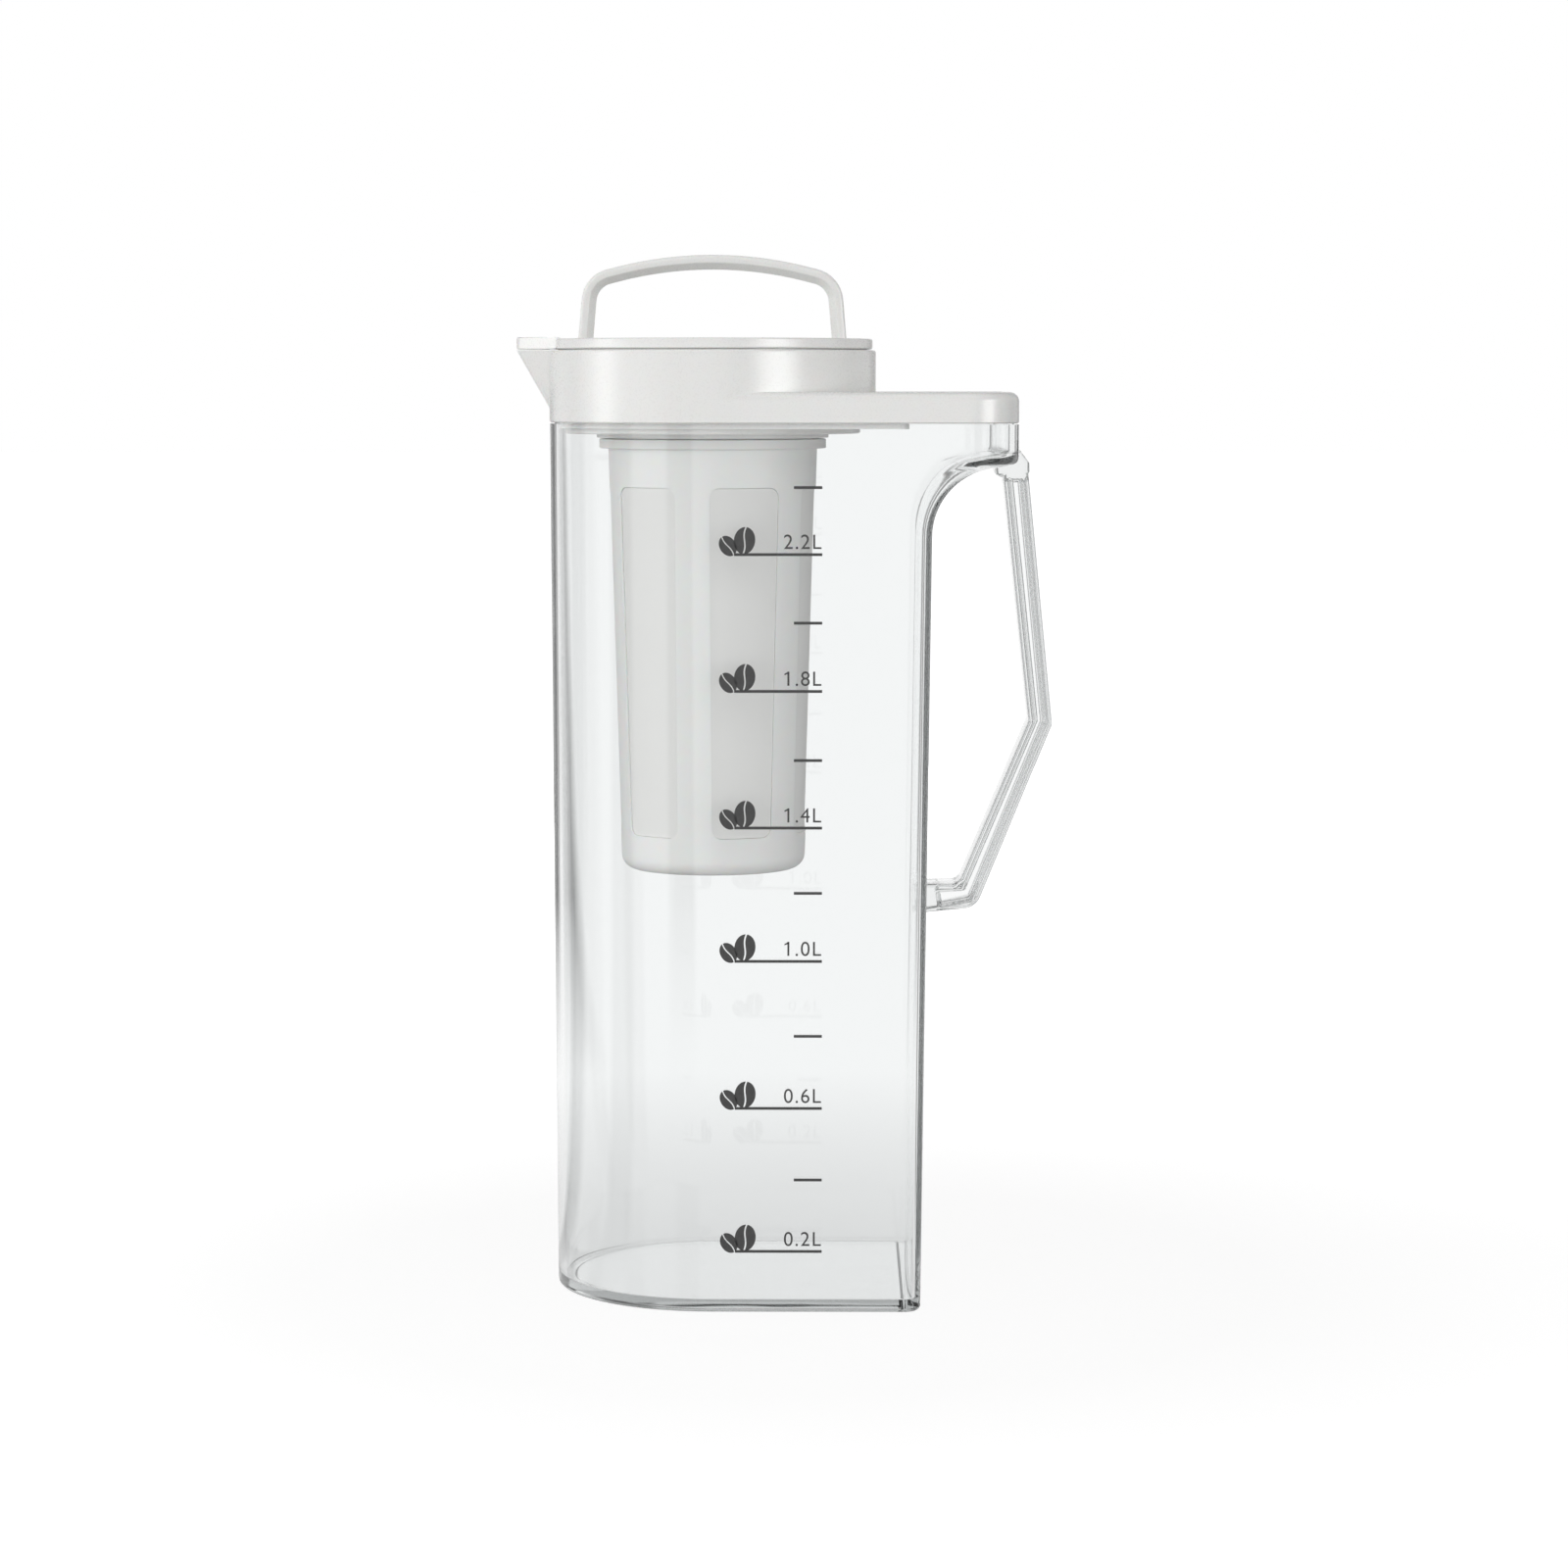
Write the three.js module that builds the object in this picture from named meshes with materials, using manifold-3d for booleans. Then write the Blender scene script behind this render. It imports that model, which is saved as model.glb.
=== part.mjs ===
// Cold brew pitcher: clear jug with a side handle, pour lid, lift-out lid with a carry handle,
// flap over the spout, and a filter basket that hangs from the lid by a bayonet.
// Millimetres, +Z up. X runs from the spout to the side handle, Y from the front to the back.
// Everything is drawn about the lid axis; the whole group is then moved to the middle of its footprint.
import * as THREE from "three";
import { mergeVertices } from "three/addons/utils/BufferGeometryUtils.js";
import Module from "manifold-3d";

const wasm = await Module();
wasm.setup();

// Fits
const SEAT = 0.3; // gap left where one piece rests on another
const SLIDE_FIT = 0.6; // gap round the plug in the pour lid
const CAP_FIT = 0.5; // gap round the dish of the cap in the turret
const TURN_FIT = 0.4; // gap round turning pieces
const SEAL_FIT = 0.25; // gap at a gasket or seal, drawn unpressed
const OVERLAP = 0.5; // shapes of one piece run into each other by this much before they are joined
const CLEAR = 2; // cutting shapes run past the faces they cut by this much

// Jug
const JUG_HEIGHT = 264; // base to the shoulder that carries the pour lid
const ROUND_BASE = 48; // half round of the spout side at the base
const ROUND_DRAFT = 1.5; // how much wider the half round is at the shoulder
const FLAT_BASE = 62.8; // lid axis to the flat handle wall at the base
const FLAT_DRAFT = 2.8; // how much further out the flat wall is where its flare begins
const FLAT_CORNER = 5;
const FLARE_DROP = 33; // start of the flare below the shoulder
const FLARE_RADIUS = 20;
const FLARE_SLOPE = THREE.MathUtils.degToRad(11); // rise of the shelf beyond the flare
const SHELF_REACH = 25.8; // flat wall to the end of the shelf above the side handle
const SHELF_CORNER = 15;
const SHELF_EDGE = 2;
const WALL = 2.4;
const FLOOR = 3.6;
const FLOOR_FILLET = 1.4;
const FOOT_RIM = 5;
const FOOT_RECESS = 0.8;
const FOOT_EDGE = 1.4;
const RIM_HEIGHT = 5.6; // thinned rim above the shoulder

// Side handle, with an I-section
const HANDLE_WIDTH = 18;
const HANDLE_FLANGE = 2.1;
const HANDLE_WEB = 3;
const HANDLE_BAR = 7.8; // bar thickness seen from the front
const KNEE_BAR = 7.1;
const FOOT_BAR = 9;
const HEAD_DROP = 7.6; // top of the head below the shoulder
const HEAD_DEPTH = 8.6; // height of the head that wraps the end of the shelf
const HEAD_OUT = 4.6; // how far the head stands out past the shelf
const KNEE_OUT = 11.9; // end of the shelf to the outside of the knee
const KNEE_DROP = 90.6; // knee below the shoulder
const ELBOW_OUT = 12; // flat wall to the elbow
const ELBOW_DROP = 143.5; // elbow below the shoulder
const ELBOW_ROUND = 6;
const FOOT_SLOPE = 1.2; // fall from the elbow to the foot at the wall
const HANDLE_SINK = 6; // handle shapes run this far into the jug before they are trimmed to it
const POCKET_STOP = 7; // pockets of the I-section end this far short of the head
const HANDLE_EDGE = 1;

// Pour lid
const DECK = 2;
const DECK_EDGE = 2.2;
const SKIRT = 1.1;
const SKIRT_EDGE = 0.4;
const LIP = 1.4; // locating lip inside the rim
const LIP_DROP = 1.3; // how far the lip hangs below the shoulder
const LIP_SETBACK = 6.8; // flat end of the lip from the flat wall of the jug
const LIP_CORNER = 6;
const TURRET_HEIGHT = 12.5; // turret above the deck
const TURRET_WALL = 2.2;
const TURRET_EDGE = 0.8;
const SPOUT_LENGTH = 9.9; // spout tip beyond the turret
const SPOUT_RISE = 3.5; // foot of the spout above the shoulder
const SPOUT_ROOT = 3; // where the spout's sides start, inside the turret's face
const SPOUT_HALF_TOP = 12; // half width at the root
const SPOUT_HALF_FOOT = 1.5;
const SPOUT_TIP_TOP = 3.5;
const SPOUT_TIP_FOOT = 1;
const SPOUT_WALL = 2.1;
const SPOUT_STEPS = 6;
const GASKET_THICK = 1.4;
const GASKET_EASE = 0.05; // gasket narrower than the rim, each side

// Lift-out lid
const CAP_INSET = 1; // edge of the cap inside the face of the turret
const CAP_RIM = 3.1;
const CAP_EDGE = 0.6;
const DISH_WALL = 1.8;
const DISH_DEPTH = 6.8;
const DISH_FLOOR = 1.6;
const DISH_EDGE = 1;
const PLUG_CEILING = 1.5;
const PLUG_WALL = 2.2;
const PLUG_DROP = 3; // lower edge of the plug skirt below the shoulder
const PLUG_EDGE = 1.4;
const SEAL_RISE = 1.2; // seal groove above the shoulder
const SEAL_HEIGHT = 3.6;
const SEAL_DEPTH = 1.4;
const SEAL_BEAD = 0.7;
const SEAL_DIP = 0.4; // valley between the two beads
const POUR_SLOTS = 5;
const POUR_SLOT_WIDTH = 4.6;
const POUR_SLOT_PITCH = THREE.MathUtils.degToRad(9);

// Spout flap and its hinge
const FLAP_PROUD = 0.5; // flap above the cap
const HINGE_INSET = 0.9; // hinge axis inside the edge of the cap
const KNUCKLE = 1.8;
const KNUCKLE_SPLIT = 4.2; // half length of the cap's own knuckle
const KNUCKLE_END = 9;
const KNUCKLE_RISE = 0.1; // knuckles above the underside of the cap
const HINGE_PIN = 0.8;
const PIN_SHORT = 0.2; // pin ends inside the knuckles

// Carry handle
const BAIL_INSET = 6.3; // middle of a leg inside the dish wall
const BAIL_RISE = 25.3; // top of the handle above the cap
const BAIL_LEAN = 1.5; // how far each leg leans in
const BAIL_CROWN = 4.2; // rise of the grip from its shoulders to its middle
const BAIL_ROUND = 8.5;
const BAIL_HALF = 2.2; // half thickness seen from the front
const BAIL_DEPTH = 3; // half thickness front to back
const BAIL_REST = 0.4; // gap to the floor of the dish when folded
const STUB = 1.5;
const STUB_END = 0.6; // stubs end short of the dish wall
const EAR_HALF = 3.2;

// Filter basket and its bayonet
const BASKET_TOP = 31.7;
const BASKET_BASE = 27.9;
const BASKET_HEIGHT = 128; // foot to the flange
const BASKET_WALL = 1.6;
const BASKET_ROUND = 4.4;
const FLANGE_REACH = 2.7;
const FLANGE_THICK = 2.9;
const FLANGE_EDGE = 0.4;
const NECK_WALL = 1.4;
const NECK_OVER = 0.6; // neck above the lugs
const LUGS = 3;
const LUG_REACH = 1.5;
const LUG_HALF = 7;
const LUG_HEIGHT = 2.2;
const LUG_ENTRY = 1; // entry slots wider than a lug, each side
const CATCH_HEIGHT = 3.7; // lip of the socket that the lugs rest on
const SOCKET_WALL = 1.8;
const SOCKET_DROP = 1.3; // socket below the plug skirt
const TWIST = THREE.MathUtils.degToRad(45);
const WINDOWS = 6;
const WINDOW_RISE = 11.4; // window above the foot
const WINDOW_FALL = 11.5; // window below the flange
const RIB = 10.8;
const WINDOW_ROUND = 3;
const FIRST_WINDOW = THREE.MathUtils.degToRad(-70);
const MESH_THICK = 0.6;
const MESH_GAP = 0.25;

const ROUND = 48; // facets in a full turn
const CORNER_STEPS = 5;
const FLARE_STEPS = 6;
const BAIL_STEPS = 30;
const LEAST_CORNER = 0.8;

// Levels, from the base upwards
const FLARE_START = JUG_HEIGHT - FLARE_DROP;
const RIM_TOP = JUG_HEIGHT + RIM_HEIGHT;
const GASKET_LOW = RIM_TOP + SEAL_FIT;
const DECK_LOW = GASKET_LOW + GASKET_THICK + SEAL_FIT;
const DECK_TOP = DECK_LOW + DECK;
const TURRET_TOP = DECK_TOP + TURRET_HEIGHT;
const SPOUT_FOOT = JUG_HEIGHT + SPOUT_RISE;
const CAP_LOW = TURRET_TOP + SEAT;
const CAP_TOP = CAP_LOW + CAP_RIM;
const DISH_LOW = CAP_TOP - DISH_DEPTH;
const CAP_FOOT = DISH_LOW - DISH_FLOOR;
const HINGE_Z = CAP_LOW + KNUCKLE_RISE + KNUCKLE;
const PIVOT_Z = DISH_LOW + BAIL_REST + BAIL_DEPTH;
const BAIL_TOP = CAP_TOP + BAIL_RISE;
const PLUG_TOP = CAP_FOOT - SEAT;
const PLUG_ROOF = PLUG_TOP - PLUG_CEILING;
const PLUG_FOOT = JUG_HEIGHT - PLUG_DROP;
const SEAL_LOW = JUG_HEIGHT + SEAL_RISE;
const SOCKET_LOW = PLUG_FOOT - SOCKET_DROP;
const CATCH_TOP = SOCKET_LOW + CATCH_HEIGHT;
const LUG_LOW = CATCH_TOP + SEAT;
const NECK_TOP = LUG_LOW + LUG_HEIGHT + NECK_OVER;
const FLANGE_TOP = SOCKET_LOW - SEAT;
const FLANGE_LOW = FLANGE_TOP - FLANGE_THICK;
const BASKET_FOOT = FLANGE_LOW - BASKET_HEIGHT;
const WINDOW_LOW = BASKET_FOOT + WINDOW_RISE;
const WINDOW_TOP = FLANGE_LOW - WINDOW_FALL;

// Distances from the lid axis
const ROUND_TOP = ROUND_BASE + ROUND_DRAFT;
const FLAT_TOP = FLAT_BASE + FLAT_DRAFT;
const SHELF_END = FLAT_TOP + SHELF_REACH;
const HANDLE_REACH = SHELF_END + KNEE_OUT;
const RIM_STEP = SKIRT + SEAT;
const LIP_END = FLAT_TOP - LIP_SETBACK;
const LIP_OUTSIDE = WALL + SEAT;
const BORE = ROUND_TOP - LIP_OUTSIDE - LIP;
const TURRET = ROUND_TOP;
const TURRET_BORE = TURRET - TURRET_WALL;
const SPOUT_REACH = TURRET + SPOUT_LENGTH;
const CAP_RADIUS = TURRET - CAP_INSET;
const HINGE_OUT = CAP_RADIUS - HINGE_INSET;
const DISH_OUTSIDE = TURRET_BORE - CAP_FIT;
const DISH_RADIUS = DISH_OUTSIDE - DISH_WALL;
const BAIL_FOOT = DISH_RADIUS - BAIL_INSET;
const LEG_OUT = BAIL_FOOT + BAIL_HALF;
const PLUG_RADIUS = BORE - SLIDE_FIT;
const FLANGE_RADIUS = BASKET_TOP + FLANGE_REACH;
const NECK = BASKET_TOP - BASKET_WALL + NECK_WALL;
const LUG_RADIUS = NECK + LUG_REACH;
const CATCH = NECK + TURN_FIT;
const SOCKET_BORE = LUG_RADIUS + TURN_FIT;
const SOCKET_OUTSIDE = SOCKET_BORE + SOCKET_WALL;

// Solids

function solid(geometry) {
  const bare = geometry.clone();
  bare.deleteAttribute("normal");
  bare.deleteAttribute("uv");
  const merged = mergeVertices(bare, 1e-4);
  const index = merged.index.array;
  const faces = [];
  for (let i = 0; i < index.length; i += 3) {
    const [a, b, c] = [index[i], index[i + 1], index[i + 2]];
    if (a !== b && b !== c && c !== a) faces.push(a, b, c);
  }
  const vertProperties = merged.attributes.position.array;
  return new wasm.Manifold(
    new wasm.Mesh({ numProp: 3, vertProperties, triVerts: new Uint32Array(faces) }),
  );
}

// Closed skin through rings of equal point counts, each ring counter-clockwise seen from above.
function loft(rings) {
  const count = rings[0].length;
  const points = rings.flat();
  const faces = [];
  for (let k = 0; k + 1 < rings.length; k++) {
    for (let i = 0; i < count; i++) {
      const j = (i + 1) % count;
      const [a, b] = [k * count + i, k * count + j];
      faces.push(a, b, b + count, a, b + count, a + count);
    }
  }
  const middle = (ring) =>
    ring.reduce((sum, p) => sum.add(p), new THREE.Vector3()).divideScalar(count);
  const last = (rings.length - 1) * count;
  points.push(middle(rings[0]), middle(rings[rings.length - 1]));
  for (let i = 0; i < count; i++) {
    const j = (i + 1) % count;
    faces.push(points.length - 2, j, i, points.length - 1, last + i, last + j);
  }
  return solid(new THREE.BufferGeometry().setFromPoints(points).setIndex(faces));
}

// Profile of [radius, height] pairs, outer side upwards, turned about the lid axis.
function revolve(profile, steps = ROUND) {
  const points = profile.map(([r, h]) => new THREE.Vector2(r, h));
  if (profile[0][0] > 0) points.push(points[0].clone());
  return solid(new THREE.LatheGeometry(points, steps).rotateX(Math.PI / 2));
}

function prism(outline, low, high) {
  const shape = new THREE.Shape(outline);
  const depth = high - low;
  return solid(
    new THREE.ExtrudeGeometry(shape, { depth, bevelEnabled: false }).translate(0, 0, low),
  );
}

function block(x0, x1, y0, y1, z0, z1) {
  const box = new THREE.BoxGeometry(x1 - x0, y1 - y0, z1 - z0);
  return solid(box.translate((x0 + x1) / 2, (y0 + y1) / 2, (z0 + z1) / 2));
}

function rodY(radius, y0, y1, x, z, steps = 16) {
  const rod = new THREE.CylinderGeometry(radius, radius, y1 - y0, steps);
  return solid(rod.translate(x, (y0 + y1) / 2, z));
}

function rodX(radius, x0, x1, z, steps = 24) {
  const rod = new THREE.CylinderGeometry(radius, radius, x1 - x0, steps).rotateZ(Math.PI / 2);
  return solid(rod.translate((x0 + x1) / 2, 0, z));
}

// Polygon with its corners rounded; each corner is [x, y, radius].
function rounded(corners) {
  const shape = new THREE.Shape();
  corners.forEach(([x, y, radius], i) => {
    const here = new THREE.Vector2(x, y);
    const before = corners[(i + corners.length - 1) % corners.length];
    const after = corners[(i + 1) % corners.length];
    const back = new THREE.Vector2(before[0] - x, before[1] - y);
    const ahead = new THREE.Vector2(after[0] - x, after[1] - y);
    const start = here.clone().add(back.setLength(radius));
    const end = here.clone().add(ahead.setLength(radius));
    if (i === 0) shape.moveTo(start.x, start.y);
    else shape.lineTo(start.x, start.y);
    shape.quadraticCurveTo(x, y, end.x, end.y);
  });
  shape.closePath();
  return shape;
}

// Outline drawn in the X-Z plane, thickened evenly to both sides of y = 0.
function slab(shape, width) {
  const geometry = new THREE.ExtrudeGeometry(shape, {
    depth: width,
    bevelEnabled: false,
    curveSegments: 4,
  });
  return solid(geometry.rotateX(Math.PI / 2).translate(0, width / 2, 0));
}

function aboutAxis(body, angle) {
  return body.rotate([0, 0, THREE.MathUtils.radToDeg(angle)]);
}

// Jug plan: half round on the spout side, straight flanks, flat end towards the handle.
function plan(radius, end, corner, inset = 0) {
  const r = radius - inset;
  const x = end - inset;
  const c = Math.max(corner - inset, LEAST_CORNER);
  const points = [];
  for (let i = 0; i <= ROUND / 2; i++) {
    const a = Math.PI / 2 + (2 * Math.PI * i) / ROUND;
    points.push(new THREE.Vector2(r * Math.cos(a), r * Math.sin(a)));
  }
  for (const side of [-1, 1]) {
    for (let i = 0; i <= CORNER_STEPS; i++) {
      const a = (Math.PI / 2) * (i / CORNER_STEPS + (side < 0 ? -1 : 0));
      points.push(new THREE.Vector2(x - c + c * Math.cos(a), side * (r - c) + c * Math.sin(a)));
    }
  }
  return points;
}

function lifted(outline, z) {
  return outline.map((p) => new THREE.Vector3(p.x, p.y, z));
}

const topPlan = (inset) => plan(ROUND_TOP, SHELF_END, SHELF_CORNER, inset);
const basePlan = (inset) => plan(ROUND_BASE, FLAT_BASE, FLAT_CORNER, inset);

// Rings of the jug wall from a low level to a high one, moved inwards by an inset.
function wallRings(inset, low, high) {
  const rings = [];
  const add = (end, z) => {
    const radius = THREE.MathUtils.lerp(ROUND_BASE, ROUND_TOP, Math.min(z / JUG_HEIGHT, 1));
    const grown = THREE.MathUtils.clamp((end + inset - FLAT_TOP) / (SHELF_END - FLAT_TOP), 0, 1);
    const corner = THREE.MathUtils.lerp(FLAT_CORNER, SHELF_CORNER, grown);
    rings.push(lifted(plan(radius - inset, end, Math.max(corner - inset, LEAST_CORNER)), z));
  };
  add(THREE.MathUtils.lerp(FLAT_BASE, FLAT_TOP, low / FLARE_START) - inset, low);
  const turn = Math.PI / 2 - FLARE_SLOPE;
  const sweep = FLARE_RADIUS + inset;
  const middle = FLAT_TOP + FLARE_RADIUS;
  for (let i = 0; i <= FLARE_STEPS; i++) {
    const a = (turn * i) / FLARE_STEPS;
    add(middle - sweep * Math.cos(a), FLARE_START + sweep * Math.sin(a));
  }
  const edgeX = SHELF_END - inset;
  const startX = middle - sweep * Math.cos(turn);
  const startZ = FLARE_START + sweep * Math.sin(turn);
  const edgeZ = startZ + (edgeX - startX) * Math.tan(FLARE_SLOPE);
  const bend = new THREE.QuadraticBezierCurve(
    new THREE.Vector2(edgeX - SHELF_EDGE, edgeZ - SHELF_EDGE * Math.tan(FLARE_SLOPE)),
    new THREE.Vector2(edgeX, edgeZ),
    new THREE.Vector2(edgeX, edgeZ + SHELF_EDGE),
  );
  bend.getPoints(3).forEach((p) => add(p.x, p.y));
  add(edgeX, high);
  return rings;
}

function makeJug() {
  const outside = wallRings(0, FOOT_EDGE, JUG_HEIGHT);
  const inside = wallRings(WALL, FLOOR + FLOOR_FILLET, RIM_TOP).reverse();
  const turned = 1 - Math.SQRT1_2; // how far an arc's middle lies from its corner's sides
  return loft([
    lifted(basePlan(FOOT_RIM + FOOT_RECESS), FOOT_RECESS),
    lifted(basePlan(FOOT_RIM), 0),
    lifted(basePlan(FOOT_EDGE), 0),
    lifted(basePlan(turned * FOOT_EDGE), turned * FOOT_EDGE),
    ...outside,
    lifted(topPlan(RIM_STEP), JUG_HEIGHT),
    lifted(topPlan(RIM_STEP), RIM_TOP),
    ...inside,
    lifted(basePlan(WALL + turned * FLOOR_FILLET), FLOOR + turned * FLOOR_FILLET),
    lifted(basePlan(WALL + FLOOR_FILLET), FLOOR),
  ]);
}

// Outside of the jug with the bonding gap added, used to trim the handle to the wall and the shelf.
function makeJugTrim() {
  return loft(wallRings(-SEAT, FOOT_EDGE, JUG_HEIGHT));
}

// Offsets a line of points to both sides, with mitred corners, into one closed outline.
function ribbon(path, narrow = 0) {
  const sides = [[], []];
  path.forEach((p, i) => {
    const normals = [];
    if (i > 0) normals.push([path[i - 1], p]);
    if (i + 1 < path.length) normals.push([p, path[i + 1]]);
    const units = normals.map(([a, b]) =>
      new THREE.Vector2(-(b.z - a.z), b.x - a.x).normalize(),
    );
    const mitre = units.reduce((sum, u) => sum.add(u), new THREE.Vector2()).normalize();
    const reach = (p.half - narrow) / mitre.dot(units[units.length - 1].clone());
    sides[0].push([p.x + mitre.x * reach, p.z + mitre.y * reach, p.round / 2]);
    sides[1].unshift([p.x - mitre.x * reach, p.z - mitre.y * reach, p.round]);
  });
  return [...sides[0], ...sides[1]];
}

function makeHandle(trim) {
  const top = { x: SHELF_END, z: JUG_HEIGHT - HEAD_DROP - HEAD_DEPTH / 2, half: HANDLE_BAR / 2 };
  const knee = { x: HANDLE_REACH - KNEE_BAR / 2, z: JUG_HEIGHT - KNEE_DROP, half: KNEE_BAR / 2 };
  const elbow = { x: FLAT_TOP + ELBOW_OUT, z: JUG_HEIGHT - ELBOW_DROP, half: HANDLE_BAR / 2 };
  const foot = { x: FLAT_TOP - HANDLE_SINK, z: elbow.z - FOOT_SLOPE, half: FOOT_BAR / 2 };
  const path = [
    { ...foot, round: HANDLE_EDGE },
    { ...elbow, round: ELBOW_ROUND },
    { ...knee, round: 2 * HANDLE_EDGE },
    { ...top, round: HANDLE_EDGE },
  ];
  const short = POCKET_STOP / (top.z - knee.z);
  const pocketPath = [
    { ...foot, x: FLAT_TOP + FOOT_BAR / 3, round: HANDLE_EDGE },
    { ...elbow, round: HANDLE_EDGE },
    { ...knee, round: HANDLE_EDGE },
    {
      x: THREE.MathUtils.lerp(top.x, knee.x, short),
      z: top.z - POCKET_STOP,
      half: top.half,
      round: HANDLE_EDGE,
    },
  ];
  const headTop = JUG_HEIGHT - HEAD_DROP;
  const headFoot = headTop - HEAD_DEPTH;
  const headOut = SHELF_END + HEAD_OUT;
  const head = rounded([
    [SHELF_END - HANDLE_SINK, headTop, HANDLE_EDGE / 2],
    [SHELF_END - HANDLE_SINK, headFoot, HANDLE_EDGE],
    [headOut, headFoot, HANDLE_EDGE],
    [headOut, (headTop + headFoot) / 2, HANDLE_EDGE],
    [SHELF_END + SEAT + HANDLE_EDGE, headTop, HANDLE_EDGE / 2],
  ]);
  const pocket = rounded(ribbon(pocketPath, HANDLE_FLANGE).reverse());
  const depth = (HANDLE_WIDTH - HANDLE_WEB) / 2;
  const pockets = slab(pocket, 2 * depth);
  const offset = HANDLE_WEB / 2 + depth;
  return slab(rounded(ribbon(path).reverse()), HANDLE_WIDTH)
    .add(slab(head, HANDLE_WIDTH))
    .subtract(pockets.translate([0, -offset, 0]))
    .subtract(pockets.translate([0, offset, 0]))
    .subtract(trim);
}

// Spout plan at a level: sides from the turret wall to a round tip, drawn in by an inset.
function spoutOutline(z, root, inset = 0) {
  const rise = (z - SPOUT_FOOT) / (TURRET_TOP - SPOUT_FOOT);
  const half = THREE.MathUtils.lerp(SPOUT_HALF_FOOT, SPOUT_HALF_TOP, rise) - inset;
  const tip = Math.max(THREE.MathUtils.lerp(SPOUT_TIP_FOOT, SPOUT_TIP_TOP, rise) - inset, LEAST_CORNER);
  const lean = Math.hypot(1, SPOUT_LENGTH / (TURRET_TOP - SPOUT_FOOT));
  const reach = THREE.MathUtils.lerp(TURRET - TURRET_EDGE, SPOUT_REACH, rise) - lean * inset;
  const middle = reach - tip;
  const wall = TURRET - SPOUT_ROOT;
  const distance = Math.hypot(middle - wall, half);
  const tangent = Math.atan2(half, middle - wall) + Math.acos(tip / distance);
  const edge = new THREE.Vector2(
    -middle + tip * Math.cos(tangent),
    tip * Math.sin(tangent),
  );
  const slope = (half - edge.y) / (-wall - edge.x);
  const rootHalf = edge.y + slope * (root - edge.x);
  const points = [new THREE.Vector2(root, rootHalf)];
  for (let i = 0; i <= SPOUT_STEPS; i++) {
    const a = tangent + ((2 * Math.PI - 2 * tangent) * i) / SPOUT_STEPS;
    points.push(new THREE.Vector2(-middle + tip * Math.cos(a), tip * Math.sin(a)));
  }
  points.push(new THREE.Vector2(root, -rootHalf));
  return points;
}

function makeCollar() {
  const skirtLow = JUG_HEIGHT + SEAT;
  const rings = [
    lifted(topPlan(SKIRT_EDGE), skirtLow),
    lifted(topPlan(0), skirtLow + SKIRT_EDGE),
  ];
  for (const a of [0, Math.PI / 6, Math.PI / 3, Math.PI / 2]) {
    const inset = DECK_EDGE * (1 - Math.cos(a));
    rings.push(lifted(topPlan(inset), DECK_TOP - DECK_EDGE * (1 - Math.sin(a))));
  }
  const deck = loft(rings);
  const turretLow = DECK_LOW - DECK;
  const turret = revolve([
    [0, turretLow],
    [TURRET, turretLow],
    [TURRET, TURRET_TOP - TURRET_EDGE],
    [TURRET - 0.3 * TURRET_EDGE, TURRET_TOP - 0.3 * TURRET_EDGE],
    [TURRET - TURRET_EDGE, TURRET_TOP],
    [0, TURRET_TOP],
  ]);
  const spoutLevels = [0, 0.5, 1].map((t) => THREE.MathUtils.lerp(SPOUT_FOOT, TURRET_TOP, t));
  const spoutRoot = -TURRET_BORE + OVERLAP;
  const spout = loft(spoutLevels.map((z) => lifted(spoutOutline(z, spoutRoot), z)));
  const channelLevels = [DECK_TOP + SEAT, TURRET_TOP + CLEAR];
  const channelRoot = -TURRET_BORE + 2 * CLEAR;
  const channel = loft(
    channelLevels.map((z) => lifted(spoutOutline(z, channelRoot, SPOUT_WALL), z)),
  );
  const lipLow = JUG_HEIGHT - LIP_DROP;
  const pocket = prism(topPlan(SKIRT), lipLow - CLEAR, DECK_LOW);
  const lipPlan = (inset) => plan(ROUND_TOP - inset, LIP_END + LIP_OUTSIDE - inset, LIP_CORNER - inset);
  const lip = prism(lipPlan(LIP_OUTSIDE), lipLow, DECK_LOW + OVERLAP).subtract(
    prism(lipPlan(LIP_OUTSIDE + LIP), lipLow - CLEAR, DECK_LOW),
  );
  const bore = revolve([
    [0, lipLow - CLEAR],
    [BORE, lipLow - CLEAR],
    [BORE, DECK_TOP],
    [TURRET_BORE, DECK_TOP],
    [TURRET_BORE, TURRET_TOP + CLEAR],
    [0, TURRET_TOP + CLEAR],
  ]);
  return deck.add(turret).add(spout).subtract(pocket).add(lip).subtract(bore).subtract(channel);
}

function makeGasket() {
  const high = GASKET_LOW + GASKET_THICK;
  const outer = prism(topPlan(RIM_STEP + GASKET_EASE), GASKET_LOW, high);
  return outer.subtract(prism(topPlan(WALL - GASKET_EASE), GASKET_LOW - CLEAR, high + CLEAR));
}

const ordered = (a, b) => [Math.min(a, b), Math.max(a, b)];

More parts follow.
